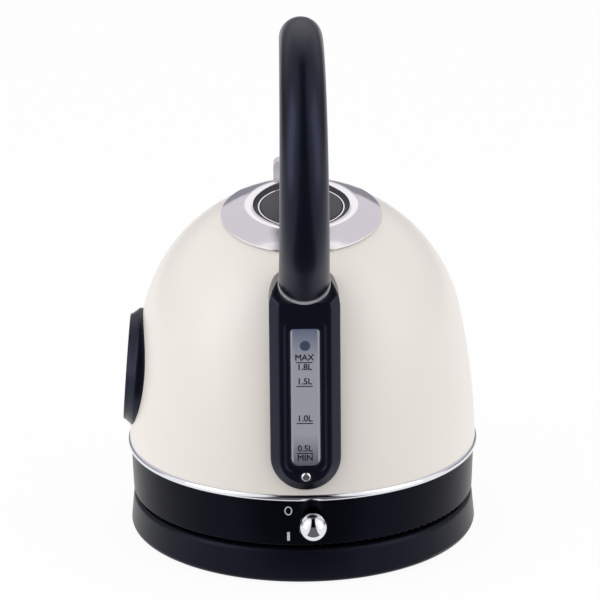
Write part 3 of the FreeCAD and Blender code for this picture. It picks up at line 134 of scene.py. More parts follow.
# Screws, pins, springs, brackets and the handle's core: rolled or turned steel with a clear zinc plate.
# The plating clouds the metal a little, so bright and dull patches lie side by side.
# The heating element and the bimetal discs, shut away below the floor, share this finish.
cloud_mm = 3.0
zinc_plate, tree, shader, place = new_finish("zinc_plated_steel", Metallic=1.0)
cloud = add_node(tree, "ShaderNodeTexNoise", {"Scale": 1000 / cloud_mm, "Detail": 5.0}, {"Vector": place})
tint = add_node(tree, "ShaderNodeMix", {
    "data_type": "RGBA", 6: hex_colour("b4b6b8"), 7: hex_colour("dcdddf"),
}, {0: cloud.outputs["Fac"]})
rough = add_node(tree, "ShaderNodeMapRange", {"To Min": 0.18, "To Max": 0.36}, {
    "Value": cloud.outputs["Fac"],
})
tree.links.new(tint.outputs[2], shader.inputs["Base Color"])
tree.links.new(rough.outputs["Result"], shader.inputs["Roughness"])
dress(
    zinc_plate, "base_screws", "cover_screws", "control_screws", "switch_bracket", "lever_pin",
    "housing_stud", "housing_screw", "handle_core", "front_screw", "hinge_pin", "collar_clamp",
    "gauge_nut", "button_spring", "lid_catch", "bimetal_discs", "heating_element",
)

# Connector socket, control, dial spacer, level tank and trip rod: black nylon filled with glass fibre.
# The fibres leave faint streaks along the flow and a matt, slightly greyed surface.
streak_mm = 6.0
streak_depth_mm = 0.2
filled_nylon, tree, shader, place = new_finish("glass_filled_nylon", Roughness=0.55, IOR=1.53)
stretch = add_node(tree, "ShaderNodeMapping", {"Scale": (1.0, 1.0, 0.2)}, {"Vector": place})
streak = add_node(tree, "ShaderNodeTexNoise", {"Scale": 1000 / streak_mm, "Detail": 6.0}, {
    "Vector": stretch.outputs["Vector"],
})
shade = add_node(tree, "ShaderNodeMix", {
    "data_type": "RGBA", 6: hex_colour("101114"), 7: hex_colour("1d1e22"),
}, {0: streak.outputs["Fac"]})
bump = add_node(tree, "ShaderNodeBump", {"Strength": 0.15, "Distance": streak_depth_mm / 1000}, {
    "Height": streak.outputs["Fac"],
})
tree.links.new(shade.outputs[2], shader.inputs["Base Color"])
tree.links.new(bump.outputs["Normal"], shader.inputs["Normal"])
dress(filled_nylon, "base_socket", "control_body", "gauge_spacer", "trip_rod", "level_tank")

# Contacts: turned and stamped brass, held in the socket and under the control.
# Wear and heat leave them bright in patches and a little browned between.
tarnish_mm = 4.0
contact_brass, tree, shader, place = new_finish("contact_brass", Metallic=1.0)
tarnish = add_node(tree, "ShaderNodeTexNoise", {"Scale": 1000 / tarnish_mm, "Detail": 4.0}, {
    "Vector": place,
})
tint = add_node(tree, "ShaderNodeMix", {
    "data_type": "RGBA", 6: hex_colour("b08a4a"), 7: hex_colour("e3c37e"),
}, {0: tarnish.outputs["Fac"]})
rough = add_node(tree, "ShaderNodeMapRange", {"To Min": 0.38, "To Max": 0.18}, {
    "Value": tarnish.outputs["Fac"],
})
tree.links.new(tint.outputs[2], shader.inputs["Base Color"])
tree.links.new(rough.outputs["Result"], shader.inputs["Roughness"])
dress(contact_brass, "socket_contacts", "contact_pin", "contact_ring")

# Skirt, switch surround and switch arm: moulded black polypropylene, set under the trim ring.
# The mould was only sanded, so the skin is smoother than the base and shows a long soft sheen.
ripple_mm = 2.5
ripple_depth_mm = 0.2
satin_pp, tree, shader, place = new_finish(
    "satin_polypropylene", Base_Color=hex_colour("08090f"), IOR=1.49, Specular_IOR_Level=0.1,
    Specular_Tint=cool_gloss,
)
ripple = add_node(tree, "ShaderNodeTexNoise", {"Scale": 1000 / ripple_mm, "Detail": 2.0}, {"Vector": place})
rough = add_node(tree, "ShaderNodeMapRange", {"To Min": 0.24, "To Max": 0.32}, {
    "Value": ripple.outputs["Fac"],
})
bump = add_node(tree, "ShaderNodeBump", {"Strength": 0.06, "Distance": ripple_depth_mm / 1000}, {
    "Height": ripple.outputs["Fac"],
})
tree.links.new(rough.outputs["Result"], shader.inputs["Roughness"])
tree.links.new(bump.outputs["Normal"], shader.inputs["Normal"])
dress(satin_pp, "skirt", "switch_surround", "lever_arm")

# Off and on marks beside the switch: a ring and a bar of pad-printed pale ink on the skirt.
# The ink stands a few hundredths of a millimetre proud and has faint flecks.
ink_mm = 0.05
fleck_mm = 0.6
pale_ink, tree, shader, place = new_finish("pale_pad_ink", Roughness=0.5)
fleck = add_node(tree, "ShaderNodeTexNoise", {"Scale": 1000 / fleck_mm}, {"Vector": place})
tint = add_node(tree, "ShaderNodeMix", {
    "data_type": "RGBA", 6: hex_colour("b9bdc8"), 7: hex_colour("d2d5de"),
}, {0: fleck.outputs["Fac"]})
tree.links.new(tint.outputs[2], shader.inputs["Base Color"])


def on_surface(node, start_mm, way):
    """Where a ray meets a node: a matrix with X to the reader's right, Y up and Z out of the surface."""
    start = Vector(start_mm) / 1000
    point, normal = frame["nodes"][node].ray_cast(start, Vector(way))[1:3]
    right = Vector((0, 0, 1)).cross(normal).normalized()
    return Matrix.Translation(point) @ Matrix((right, normal.cross(right), normal)).transposed().to_4x4()


def line_on(name, long_mm, thick_mm, spot, ink, body):
    """A printed line as a thin closed bar with eased edges, lying on a surface."""
    bpy.ops.object.select_all(action="DESELECT")
    bpy.ops.mesh.primitive_cube_add(size=1.0)
    line = bpy.context.object
    line.name = name
    line.data.transform(spot @ Matrix.Diagonal((long_mm / 1000, thick_mm / 1000, 2 * ink_mm / 1000, 1)))
    bpy.ops.object.mode_set(mode="EDIT")
    bpy.ops.mesh.select_all(action="SELECT")
    bpy.ops.mesh.bevel(offset=ink_mm / 2 / 1000, segments=1)
    bpy.ops.object.mode_set(mode="OBJECT")
    line.data.materials.append(ink)
    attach(line, body)


def ring_on(name, wide_mm, high_mm, thick_mm, spot, ink, body):
    """A printed ring: a disc with its middle inset and cut out, given the ink's thickness."""
    corners = 64
    bpy.ops.object.select_all(action="DESELECT")
    bpy.ops.mesh.primitive_circle_add(vertices=corners, radius=0.5, fill_type="NGON")
    ring = bpy.context.object
    ring.name = name
    ring.data.transform(Matrix.Diagonal((wide_mm / 1000, high_mm / 1000, 1, 1)))
    bpy.ops.object.mode_set(mode="EDIT")
    bpy.ops.mesh.select_all(action="SELECT")
    bpy.ops.mesh.inset(thickness=thick_mm / 1000)
    bpy.ops.mesh.delete(type="FACE")
    bpy.ops.object.mode_set(mode="OBJECT")
    layer = ring.modifiers.new("ink", "SOLIDIFY")
    layer.thickness = 2 * ink_mm / 1000
    layer.offset = 0.0
    bpy.ops.object.modifier_apply(modifier=layer.name)
    ring.data.transform(spot)
    ring.data.materials.append(ink)
    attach(ring, body)


mark_x = -9.6
mark_off_z = 43.4
mark_on_z = 28.3
off_wide_mm = 4.2
off_high_mm = 5.2
off_stroke_mm = 0.6
on_wide_mm = 1.5
on_high_mm = 5.0
front_of_kettle = -300.0
towards_spout = (0, 1, 0)
off_spot = on_surface("skirt", (mark_x, front_of_kettle, mark_off_z), towards_spout)
on_spot = on_surface("skirt", (mark_x, front_of_kettle, mark_on_z), towards_spout)
ring_on("mark_off", off_wide_mm, off_high_mm, off_stroke_mm, off_spot, pale_ink, "kettle")
line_on("mark_on", on_wide_mm, on_high_mm, on_spot, pale_ink, "kettle")

# Dome and spout: drawn stainless sheet, sprayed and stoved with a cream enamel.
# Stoving leaves a satin gloss, a very shallow orange peel and hardly any drift of colour.
peel_mm = 5.0
peel_depth_mm = 0.3
drift_mm = 80.0
cream_enamel, tree, shader, place = new_finish(
    "cream_stoved_enamel", Roughness=0.36, IOR=1.5, Coat_Weight=0.25, Coat_Roughness=0.2,
)
peel = add_node(tree, "ShaderNodeTexNoise", {"Scale": 1000 / peel_mm, "Detail": 1.0}, {"Vector": place})
drift = add_node(tree, "ShaderNodeTexNoise", {"Scale": 1000 / drift_mm}, {"Vector": place})
tint = add_node(tree, "ShaderNodeMix", {
    "data_type": "RGBA", 6: hex_colour("ede6df"), 7: hex_colour("efe9e3"),
}, {0: drift.outputs["Fac"]})
bump = add_node(tree, "ShaderNodeBump", {"Strength": 0.03, "Distance": peel_depth_mm / 1000}, {
    "Height": peel.outputs["Fac"],
})
tree.links.new(tint.outputs[2], shader.inputs["Base Color"])
tree.links.new(bump.outputs["Normal"], shader.inputs["Normal"])
dress(cream_enamel, "dome_shell", "spout")

# Trim ring, lid ring, dial bezel and the switch's ball: pressed or turned metal, bright chrome plated.
# The plating mirrors the room, with only a breath of haze.
haze_mm = 8.0
bright_chrome, tree, shader, place = new_finish(
    "bright_chrome", Base_Color=hex_colour("e6e7ec"), Metallic=1.0,
)
haze = add_node(tree, "ShaderNodeTexNoise", {"Scale": 1000 / haze_mm, "Detail": 3.0}, {"Vector": place})
rough = add_node(tree, "ShaderNodeMapRange", {"To Min": 0.03, "To Max": 0.08}, {
    "Value": haze.outputs["Fac"],
})
tree.links.new(rough.outputs["Result"], shader.inputs["Roughness"])
dress(bright_chrome, "trim_ring", "lid_ring", "gauge_bezel", "lever_ball")

# Lid collar, floor, steam tube and thermometer stem: pressed and polished stainless steel.
# The collar was polished on a lathe, so faint rings run round its mouth.
# The rings are drawn coarser than real, so that they show.
polish_ring_mm = 3.77
polish_depth_mm = 0.1
wave_radians_per_scale = 20.0
ring_scale = 2 * math.pi * 1000 / polish_ring_mm / wave_radians_per_scale
collar_low, collar_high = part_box("lid_collar")
collar_middle = (collar_low + collar_high) / 2
polished_steel, tree, shader, place = new_finish(
    "polished_stainless", Base_Color=hex_colour("f3f1f4"), Metallic=1.0,
)
centred = add_node(tree, "ShaderNodeMapping", {"Location": tuple(-collar_middle)}, {"Vector": place})
rings = add_node(tree, "ShaderNodeTexWave", {
    "wave_type": "RINGS", "rings_direction": "Z", "Scale": ring_scale, "Distortion": 3.0, "Detail": 3.0,
}, {"Vector": centred.outputs["Vector"]})
rough = add_node(tree, "ShaderNodeMapRange", {"To Min": 0.07, "To Max": 0.12}, {
    "Value": rings.outputs["Fac"],
})
bump = add_node(tree, "ShaderNodeBump", {"Strength": 0.01, "Distance": polish_depth_mm / 1000}, {
    "Height": rings.outputs["Fac"],
})
tree.links.new(rough.outputs["Result"], shader.inputs["Roughness"])
tree.links.new(bump.outputs["Normal"], shader.inputs["Normal"])
dress(polished_steel, "lid_collar", "heater_plate", "steam_tube", "gauge_stem")

# Front bracket and the two ferrules: die-cast zinc, brushed upright and then plated with satin chrome.
# The bracket is screwed under the handle's front end, and a ferrule closes each end of the grips.
# The brush lines, drawn coarser than real, blur what the metal mirrors to an even pale grey.
brush_line_mm = 0.5
satin_chrome, tree, shader, place = new_finish("satin_chrome_zinc", Metallic=1.0, Roughness=0.6)
drawn = add_node(tree, "ShaderNodeMapping", {"Scale": (1.0, 1.0, 0.05)}, {"Vector": place})
brush_line = add_node(tree, "ShaderNodeTexNoise", {"Scale": 1000 / brush_line_mm, "Detail": 2.0}, {
    "Vector": drawn.outputs["Vector"],
})
tint = add_node(tree, "ShaderNodeMix", {
    "data_type": "RGBA", 6: hex_colour("e4e4e8"), 7: hex_colour("f6f6f8"),
}, {0: brush_line.outputs["Fac"]})
tree.links.new(tint.outputs[2], shader.inputs["Base Color"])
dress(satin_chrome, "front_bracket", "rear_ferrule", "front_ferrule")

# Heat spreader: a die-cast aluminium disc brazed under the floor.
# Its skin is pale and a little crystalline.
crystal_mm = 2.0
cast_aluminium, tree, shader, place = new_finish("cast_aluminium", Metallic=1.0, Roughness=0.5)
crystal = add_node(tree, "ShaderNodeTexVoronoi", {"Scale": 1000 / crystal_mm}, {"Vector": place})
tint = add_node(tree, "ShaderNodeMix", {
    "data_type": "RGBA", 6: hex_colour("b9bbbd"), 7: hex_colour("d5d6d8"),
}, {0: crystal.outputs["Distance"]})
tree.links.new(tint.outputs[2], shader.inputs["Base Color"])
dress(cast_aluminium, "heat_spreader")

# Seals: moulded silicone rubber, pressed between floor and dome, round the ports and round the lid.
# The rubber is a milky grey and looks dusty.
dust_mm = 1.5
silicone, tree, shader, place = new_finish("grey_silicone", Roughness=0.65, IOR=1.41)
dust = add_node(tree, "ShaderNodeTexNoise", {"Scale": 1000 / dust_mm, "Detail": 3.0}, {"Vector": place})
tint = add_node(tree, "ShaderNodeMix", {
    "data_type": "RGBA", 6: hex_colour("8b8b88"), 7: hex_colour("a5a5a2"),
}, {0: dust.outputs["Fac"]})
tree.links.new(tint.outputs[2], shader.inputs["Base Color"])
dress(silicone, "floor_seal", "port_seals", "lid_seal")

# Rear housing, handle grips and dial case: black ABS, sprayed with a silky soft-touch lacquer.
# Its fine matt grain, drawn coarser than real, spreads the light along the tube as broad soft bands.
# The lacquer also gathers on every moulded edge, which rounds the way the edge takes the light.
silk_mm = 0.5
silk_depth_mm = 0.1
eased_edge_mm = 2.0
soft_touch, tree, shader, place = new_finish(
    "soft_touch_abs", Base_Color=hex_colour("0a0b12"), IOR=1.5, Specular_IOR_Level=0.42,
    Specular_Tint=cool_gloss,
)
silk = add_node(tree, "ShaderNodeTexNoise", {"Scale": 1000 / silk_mm, "Detail": 2.0}, {"Vector": place})
rough = add_node(tree, "ShaderNodeMapRange", {"To Min": 0.25, "To Max": 0.33}, {
    "Value": silk.outputs["Fac"],
})
eased = add_node(tree, "ShaderNodeBevel", {"samples": 8, "Radius": eased_edge_mm / 1000})
bump = add_node(tree, "ShaderNodeBump", {"Strength": 0.05, "Distance": silk_depth_mm / 1000}, {
    "Height": silk.outputs["Fac"], "Normal": eased.outputs["Normal"],
})
tree.links.new(rough.outputs["Result"], shader.inputs["Roughness"])
tree.links.new(bump.outputs["Normal"], shader.inputs["Normal"])
dress(soft_touch, "rear_housing", "grip_outer", "grip_inner", "gauge_case")

# Lid cup and push button: moulded dark grey ABS, left bare.
# They are a shade paler than the handle, with a fine satin grain.
lid_grain_mm = 0.8
lid_grain_depth_mm = 0.1
bare_abs, tree, shader, place = new_finish(
    "bare_grey_abs", Roughness=0.4, IOR=1.5, Specular_IOR_Level=0.4,
)
lid_grain = add_node(tree, "ShaderNodeTexNoise", {"Scale": 1000 / lid_grain_mm, "Detail": 3.0}, {
    "Vector": place,
})
shade = add_node(tree, "ShaderNodeMix", {
    "data_type": "RGBA", 6: hex_colour("33323a"), 7: hex_colour("3e3c44"),
}, {0: lid_grain.outputs["Fac"]})
bump = add_node(tree, "ShaderNodeBump", {"Strength": 0.08, "Distance": lid_grain_depth_mm / 1000}, {
    "Height": lid_grain.outputs["Fac"],
})
tree.links.new(shade.outputs[2], shader.inputs["Base Color"])
tree.links.new(bump.outputs["Normal"], shader.inputs["Normal"])
dress(bare_abs, "lid_cup", "lid_button")

# Lid catch: a strip of zinc-plated spring steel, held flat under the lid by its root.
# The button's stem bends it down. The copy here is welded, cut across in short steps near its root and left
# in place, and the CAD strip is hidden.
bend_mm = 2.0
bend_steps = 8
weld_mm = 0.001
joints = {joint["name"]: joint for joint in frame["joints"]}
along_strip = Vector(joints["button_press"]["axis"]).cross(Vector((1, 0, 0))).normalized()
catch = bpy.data.objects.new("sprung_catch", frame["nodes"]["lid_catch"].data.copy())
bpy.context.scene.collection.objects.link(catch)
bend_start = min(vertex.co.dot(along_strip) for vertex in catch.data.vertices)
bend_end = bend_start + bend_mm / 1000
bpy.ops.object.select_all(action="DESELECT")
catch.select_set(True)
bpy.context.view_layer.objects.active = catch
bpy.ops.object.mode_set(mode="EDIT")
bpy.ops.mesh.select_all(action="SELECT")
bpy.ops.mesh.remove_doubles(threshold=weld_mm / 1000)
for step in range(1, bend_steps + 1):
    cut_at = bend_start + (bend_end - bend_start) * step / bend_steps
    bpy.ops.mesh.select_all(action="SELECT")
    bpy.ops.mesh.bisect(plane_co=along_strip * cut_at, plane_no=along_strip)
bpy.ops.object.mode_set(mode="OBJECT")
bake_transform(catch)
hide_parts("lid_catch")

# Water window: one moulding of smoked SAN with a frosted back, pushed into the housing from behind.
# It is darker at its two ends. Its paler rim is a painted highlight of light in its rounded edge, and the
# dark spot is painted shade of the upper water port seen through it.
port_mm = 2.5
port_edge_mm = 0.5
rim_highlight_mm = 0.9
rim_highlight_edge_mm = 0.45
face_half_mm = 7.8
pale_stretch = (0.25, 0.75)
window_low, window_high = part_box("water_window")
seals_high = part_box("port_seals")[1]
seal_radius = seals_high.x
smoked_san, tree, shader, place = new_finish(
    "smoked_san", Roughness=0.25, IOR=1.57, Specular_IOR_Level=0.35,
)
position = add_node(tree, "ShaderNodeSeparateXYZ", None, {"Vector": place})
along = add_node(tree, "ShaderNodeMapRange", {
    "From Min": window_low.z, "From Max": window_high.z,
}, {"Value": position.outputs["Z"]})
fade = add_node(tree, "ShaderNodeValToRGB", None, {"Fac": along.outputs["Result"]})
fade.color_ramp.elements[0].color = hex_colour("474f5d")
fade.color_ramp.elements[1].color = hex_colour("5b6683")
for stop in pale_stretch:
    fade.color_ramp.elements.new(stop).color = hex_colour("a0a1ab")
from_port = add_node(tree, "ShaderNodeMapping", {
    "Location": (0.0, 0.0, seal_radius - seals_high.z),
}, {"Vector": place})
flat = add_node(tree, "ShaderNodeVectorMath", {"operation": "MULTIPLY", 1: (1.0, 0.0, 1.0)}, {
    0: from_port.outputs["Vector"],
})
port_distance = add_node(tree, "ShaderNodeVectorMath", {"operation": "LENGTH"}, {0: flat.outputs["Vector"]})
# Painted shade: a dark spot over the upper port, for the port's shade seen through the window.
port_shade_mask = add_node(tree, "ShaderNodeMapRange", {
    "From Min": (port_mm + port_edge_mm) / 1000, "From Max": port_mm / 1000,
}, {"Value": port_distance.outputs["Value"]})
port_shade = add_node(tree, "ShaderNodeMix", {"data_type": "RGBA", 7: hex_colour("3c4b60")}, {
    0: port_shade_mask.outputs["Result"], 6: fade.outputs["Color"],
})
across = add_node(tree, "ShaderNodeMath", {"operation": "ABSOLUTE"}, {0: position.outputs["X"]})
# Painted highlight: the rim is made paler, for light caught in the window's rounded edge.
rim_highlight_mask = add_node(tree, "ShaderNodeMapRange", {
    "From Min": (face_half_mm - rim_highlight_mm - rim_highlight_edge_mm) / 1000, "From Max": (face_half_mm - rim_highlight_mm) / 1000,
}, {"Value": across.outputs[0]})
rim_highlight_colour = add_node(tree, "ShaderNodeMix", {"data_type": "RGBA", 7: hex_colour("acadb6")}, {
    0: rim_highlight_mask.outputs["Result"], 6: port_shade.outputs[2],
})
tree.links.new(rim_highlight_colour.outputs[2], shader.inputs["Base Color"])
dress(smoked_san, "water_window")

# Level marks: dark screen-printed letters and lines on the face of the window.
# The ink is thin and a little uneven, like any screen print on plastic.
speck_mm = 0.5
stroke_swell_mm = 0.08
dark_ink, tree, shader, place = new_finish("dark_screen_ink", Roughness=0.45, Specular_IOR_Level=0.3)
speck = add_node(tree, "ShaderNodeTexNoise", {"Scale": 1000 / speck_mm}, {"Vector": place})
tint = add_node(tree, "ShaderNodeMix", {
    "data_type": "RGBA", 6: hex_colour("15161d"), 7: hex_colour("22242d"),
}, {0: speck.outputs["Fac"]})
tree.links.new(tint.outputs[2], shader.inputs["Base Color"])


def printed(name, words, height_mm, spot, ink, body):
    """Letters as a thin closed mesh lying on a surface, centred on the spot."""
    capital_share = 0.7
    bpy.ops.object.select_all(action="DESELECT")
    bpy.ops.object.text_add()
    letters = bpy.context.object
    letters.data.body = words
    letters.data.align_x = "CENTER"
    letters.data.align_y = "CENTER"
    letters.data.size = height_mm / 1000 / capital_share
    letters.data.extrude = ink_mm / 1000
    letters.data.bevel_depth = stroke_swell_mm / 1000
    letters.data.bevel_resolution = 0
    bpy.ops.object.convert(target="MESH")
    letters.name = name
    letters.data.transform(spot)
    letters.data.materials.clear()
    letters.data.materials.append(ink)
    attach(letters, body)


letter_mm = 3.3
line_gap_mm = 0.95
level_line_mm = 8.8
level_thick_mm = 0.55
step_mm = letter_mm / 2 + line_gap_mm
print_x = -0.4
level_marks = (
    ("max", 130.0, "MAX", "1.8L"),
    ("three_quarter", 116.9, "1.5L", None),
    ("half", 96.5, "1.0L", None),
    ("min", 79.9, "0.5L", "MIN"),
)
for name, z, above, below in level_marks:
    spot = on_surface("water_window", (print_x, front_of_kettle, z), towards_spout)
    line_on("level_line_" + name, level_line_mm, level_thick_mm, spot, dark_ink, "kettle")
    for tag, words, rise in (("over", above, step_mm), ("under", below, -step_mm)):
        if words:
            lifted = spot @ Matrix.Translation((0.0, rise / 1000, 0.0))
            printed("level_%s_%s" % (tag, name), words, letter_mm, lifted, dark_ink, "kettle")

# Dial: a stamped metal disc, stoved white, that lies behind the lens.
# The stoving is matt and very slightly grained.
dial_grain_mm = 2.0
dial_white, tree, shader, place = new_finish("stoved_white", Roughness=0.6)
dial_grain = add_node(tree, "ShaderNodeTexNoise", {"Scale": 1000 / dial_grain_mm}, {"Vector": place})
tint = add_node(tree, "ShaderNodeMix", {
    "data_type": "RGBA", 6: hex_colour("ecebe6"), 7: hex_colour("f3f2ee"),
}, {0: dial_grain.outputs["Fac"]})
tree.links.new(tint.outputs[2], shader.inputs["Base Color"])
dress(dial_white, "gauge_dial")

# Dial print: a scale of a hundred degrees in the same dark ink as the window's.
# It has a long line at each ten, a short one at each five and numbers at each twenty.
scale_mm = 21.5
line_past_mm = 1.4
long_line_mm = 2.8
short_line_mm = 1.5
line_thick_mm = 0.45
number_mm = 3.0
number_in_mm = 4.6
unit_mm = 3.4
unit_drop_mm = 11.0
degrees_at_cold = 120.0
degrees_per_kelvin = 2.4
beside_staff_mm = 4.0
before_dial_mm = 50.0
staff_mm = Vector(joints["needle_turn"]["pos_m"]) * 1000
into_kettle = Vector(joints["needle_turn"]["axis"]).normalized()
aside_mm = into_kettle.cross(Vector((0, 0, 1))).normalized() * beside_staff_mm
dial_spot = on_surface("gauge_dial", staff_mm - into_kettle * before_dial_mm + aside_mm, into_kettle)
dial_spot = Matrix.Translation(-aside_mm / 1000) @ dial_spot
along_radius = Matrix.Rotation(math.pi / 2, 4, "Z")
for kelvin in range(0, 101, 5):
    turn = Matrix.Rotation(math.radians(degrees_at_cold - degrees_per_kelvin * kelvin), 4, "Z")
    long_mm = long_line_mm if kelvin % 10 == 0 else short_line_mm
    line_out = Matrix.Translation((0.0, (scale_mm + line_past_mm - long_mm / 2) / 1000, 0.0))
    line_spot = dial_spot @ turn @ line_out @ along_radius
    line_on("dial_line_%d" % kelvin, long_mm, line_thick_mm, line_spot, dark_ink, "kettle")
    if kelvin % 20 == 0:
        number_out = Matrix.Translation((0.0, (scale_mm - number_in_mm) / 1000, 0.0))
        number_spot = dial_spot @ Matrix.Translation((turn @ number_out).translation)
        printed("dial_number_%d" % kelvin, str(kelvin), number_mm, number_spot, dark_ink, "kettle")
unit_spot = dial_spot @ Matrix.Translation((0.0, -unit_drop_mm / 1000, 0.0))
printed("dial_unit", "°C", unit_mm, unit_spot, dark_ink, "kettle")

# Needle: stamped aluminium on a steel staff, painted signal red.
# The paint is thin and slightly streaked.
brush_mm = 0.8
needle_red, tree, shader, place = new_finish("signal_red_paint", Roughness=0.4)
coatwork = add_node(tree, "ShaderNodeTexNoise", {"Scale": 1000 / brush_mm}, {"Vector": place})
tint = add_node(tree, "ShaderNodeMix", {
    "data_type": "RGBA", 6: hex_colour("9c1a14"), 7: hex_colour("b8251d"),
}, {0: coatwork.outputs["Fac"]})
tree.links.new(tint.outputs[2], shader.inputs["Base Color"])
dress(needle_red, "gauge_needle")

# Lens: clear moulded acrylic, held down by the chrome bezel.
# Moulding leaves the faintest waviness in its face.
wave_mm = 15.0
wave_depth_mm = 0.2
clear_acrylic, tree, shader, place = new_finish(
    "clear_acrylic", Base_Color=hex_colour("f7f9fa"), Roughness=0.02, IOR=1.49, Transmission_Weight=1.0,
)
wave = add_node(tree, "ShaderNodeTexNoise", {"Scale": 1000 / wave_mm}, {"Vector": place})
bump = add_node(tree, "ShaderNodeBump", {"Strength": 0.01, "Distance": wave_depth_mm / 1000}, {
    "Height": wave.outputs["Fac"],
})
tree.links.new(bump.outputs["Normal"], shader.inputs["Normal"])
dress(clear_acrylic, "gauge_lens")

# Floor: a wide white table whose front edge lies just before the kettle, below the picture.
# Most of its white is its own, so that it shows as white and still keeps the kettle's soft shadow.


def seen_directly(tree):
    """A socket that is 1 where the camera, a mirror or clear plastic looks, and 0 for other light."""
    path = add_node(tree, "ShaderNodeLightPath")
    seen = path.outputs["Is Camera Ray"]
    for ray in ("Is Glossy Ray", "Is Transmission Ray"):
        either = add_node(tree, "ShaderNodeMath", {"operation": "MAXIMUM"}, {0: seen, 1: path.outputs[ray]})
        seen = either.outputs[0]
    return seen


table_size = 12.0
table_edge = -0.13
own_white = 0.93
bpy.ops.object.select_all(action="DESELECT")
bpy.ops.mesh.primitive_plane_add(size=table_size, location=(0.0, table_edge + table_size / 2, 0.0))
floor = bpy.context.object
floor.name = "floor"
white_table, tree, shader = new_finish("white_table", Base_Color=hex_colour("f8f8f8"), Roughness=0.9)[:3]
glow_share = add_node(tree, "ShaderNodeMath", {"operation": "MULTIPLY", 1: own_white}, {
    0: seen_directly(tree),
})
glow = add_node(tree, "ShaderNodeEmission", {"Strength": 1.0})
mixed = add_node(tree, "ShaderNodeMixShader", None, {
    0: glow_share.outputs[0], 1: shader.outputs[0], 2: glow.outputs[0],
})
tree.links.new(mixed.outputs[0], tree.nodes["Material Output"].inputs["Surface"])
floor.data.materials.append(white_table)

# Studio: white walls to both sides, an open dark side in front, grey behind and a white panel high behind.
# Mirrors show the dark side as a black line down the chrome ball and the panel as the collar's white lip.
# Heights are angles above the table, and bearings are angles from the front.
half_turn_deg = 180.0
wall_end_deg = 98.0
back_start_deg = 106.0
panel_side_deg = (154.0, 161.0)
soft_steps_deg = {
    "upper": (16.0, 19.0),
    "panel_foot": (33.0, 36.0),
    "panel_head": (65.0, 60.0),
    "ceiling": (70.0, 80.0),
}
gap_narrowing = 0.24
gap_edge = (0.5, 0.4)
gap_end = (0.35, 0.2)
low_light = 0.55
top_light = 1.0
white = hex_colour("ffffff")
low_grey = hex_colour("8f8f98")
high_grey = hex_colour("d8d3da")
gap_grey = hex_colour("6a666e")
gap_black = hex_colour("000000")
world = bpy.data.worlds.new("studio")
bpy.context.scene.world = world
world.use_nodes = True
tree = world.node_tree
walls = tree.nodes["Background"]
compass = add_node(tree, "ShaderNodeTexCoord")
way = add_node(tree, "ShaderNodeSeparateXYZ", None, {"Vector": compass.outputs["Generated"]})
forward = add_node(tree, "ShaderNodeMath", {"operation": "MULTIPLY", 1: -1.0}, {0: way.outputs["Y"]})
bearing = add_node(tree, "ShaderNodeMath", {"operation": "ARCTAN2"}, {
    0: way.outputs["X"], 1: forward.outputs[0],
})
bearing = add_node(tree, "ShaderNodeMath", {"operation": "ABSOLUTE"}, {0: bearing.outputs[0]})
from_front = add_node(tree, "ShaderNodeMapRange", {"From Max": math.pi}, {"Value": bearing.outputs[0]})
low_walls = add_node(tree, "ShaderNodeValToRGB", None, {"Fac": from_front.outputs["Result"]})
high_walls = add_node(tree, "ShaderNodeValToRGB", None, {"Fac": from_front.outputs["Result"]})
for ramp, back_grey in ((low_walls, low_grey), (high_walls, high_grey)):
    stops = ramp.color_ramp.elements
    stops[0].color = white
    stops[1].color = back_grey
    stops.new(wall_end_deg / half_turn_deg).color = white
    stops.new(back_start_deg / half_turn_deg).color = back_grey
raised = {}
for step, (start_deg, end_deg) in soft_steps_deg.items():
    raised[step] = add_node(tree, "ShaderNodeMapRange", {
        "From Min": math.sin(math.radians(start_deg)), "From Max": math.sin(math.radians(end_deg)),
    }, {"Value": way.outputs["Z"]}).outputs["Result"]
room = add_node(tree, "ShaderNodeMix", {"data_type": "RGBA"}, {
    0: raised["upper"], 6: low_walls.outputs["Color"], 7: high_walls.outputs["Color"],
})
room = add_node(tree, "ShaderNodeMix", {"data_type": "RGBA", 7: high_grey}, {
    0: raised["ceiling"], 6: room.outputs[2],
})
panel_side = add_node(tree, "ShaderNodeMapRange", {
    "From Min": panel_side_deg[0] / half_turn_deg, "From Max": panel_side_deg[1] / half_turn_deg,
}, {"Value": from_front.outputs["Result"]})
panel = add_node(tree, "ShaderNodeMath", {"operation": "MULTIPLY"}, {
    0: panel_side.outputs["Result"], 1: raised["panel_foot"],
})
panel = add_node(tree, "ShaderNodeMath", {"operation": "MULTIPLY"}, {
    0: panel.outputs[0], 1: raised["panel_head"],
})
room = add_node(tree, "ShaderNodeMix", {"data_type": "RGBA", 7: white}, {
    0: panel.outputs[0], 6: room.outputs[2],
})
sideways = add_node(tree, "ShaderNodeMath", {"operation": "ABSOLUTE"}, {0: way.outputs["X"]})
narrowing = add_node(tree, "ShaderNodeMath", {"operation": "MULTIPLY_ADD", 1: gap_narrowing}, {
    0: way.outputs["Z"], 2: sideways.outputs[0],
})
gap_wide = add_node(tree, "ShaderNodeMapRange", {"From Min": gap_edge[0], "From Max": gap_edge[1]}, {
    "Value": narrowing.outputs[0],
})
gap_front = add_node(tree, "ShaderNodeMapRange", {"From Min": gap_end[0], "From Max": gap_end[1]}, {
    "Value": way.outputs["Y"],
})
gap = add_node(tree, "ShaderNodeMath", {"operation": "MULTIPLY"}, {
    0: gap_wide.outputs["Result"], 1: gap_front.outputs["Result"],
})
gap_shade = add_node(tree, "ShaderNodeMix", {"data_type": "RGBA", 6: gap_grey, 7: gap_black}, {
    0: raised["upper"],
})
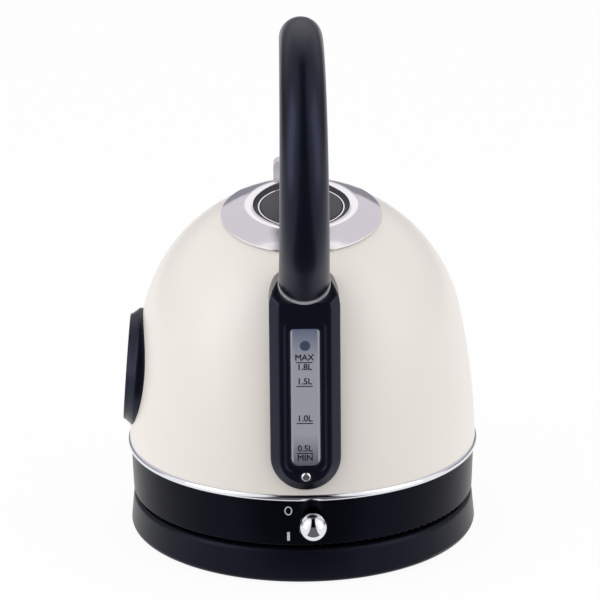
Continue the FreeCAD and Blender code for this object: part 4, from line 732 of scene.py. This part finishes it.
room = add_node(tree, "ShaderNodeMix", {"data_type": "RGBA"}, {
    0: gap.outputs[0], 6: room.outputs[2], 7: gap_shade.outputs[2],
})
path = add_node(tree, "ShaderNodeLightPath")
backdrop = add_node(tree, "ShaderNodeMix", {"data_type": "RGBA", 6: white}, {
    0: path.outputs["Is Glossy Ray"], 7: room.outputs[2],
})
wall_light = add_node(tree, "ShaderNodeMapRange", {"To Min": low_light, "To Max": top_light}, {
    "Value": way.outputs["Z"],
})
strength = add_node(tree, "ShaderNodeMix", {"data_type": "FLOAT", 3: 1.0}, {
    0: seen_directly(tree), 2: wall_light.outputs["Result"],
})
tree.links.new(backdrop.outputs[2], walls.inputs["Color"])
tree.links.new(strength.outputs[0], walls.inputs["Strength"])

# Lights: two tall soft boxes to the sides, a little in front.
# Their light is even enough that each colour shows about as it is written.
box_size = (0.8, 1.4)
aim_height = 0.14
for name, stand, power in (
    ("left_box", (-1.2, -0.6, 0.7), 6.4),
    ("right_box", (1.2, -0.6, 0.7), 4.8),
):
    bpy.ops.object.light_add(type="AREA", location=stand)
    lamp = bpy.context.object
    lamp.name = name
    lamp.data.shape = "RECTANGLE"
    lamp.data.size, lamp.data.size_y = box_size
    lamp.data.energy = power
    aim = Vector((0.0, 0.0, aim_height)) - Vector(stand)
    lamp.rotation_euler = aim.to_track_quat("-Z", "Y").to_euler()

# Camera: a long lens a little above the table, looking down on the handle's side.
# It is turned by under half a degree, as the view it follows is.
azimuth = math.radians(-0.913)
elevation = math.radians(17.765)
roll = math.radians(-0.44)
distance = 1.5625
target = Vector((-0.00084, 0.0, 0.13194))
to_camera = Vector((
    math.sin(azimuth) * math.cos(elevation), -math.cos(azimuth) * math.cos(elevation), math.sin(elevation),
))
bpy.ops.object.camera_add(location=target + to_camera * distance)
camera = bpy.context.object
level_view = (-to_camera).to_track_quat("-Z", "Y").to_matrix()
camera.rotation_euler = (level_view @ Matrix.Rotation(roll, 3, "Z")).to_euler()
camera.data.sensor_width = 36.0
camera.data.lens = 165.99
camera.data.clip_end = 50.0
bpy.context.scene.camera = camera
bpy.context.scene.view_settings.view_transform = "Standard"
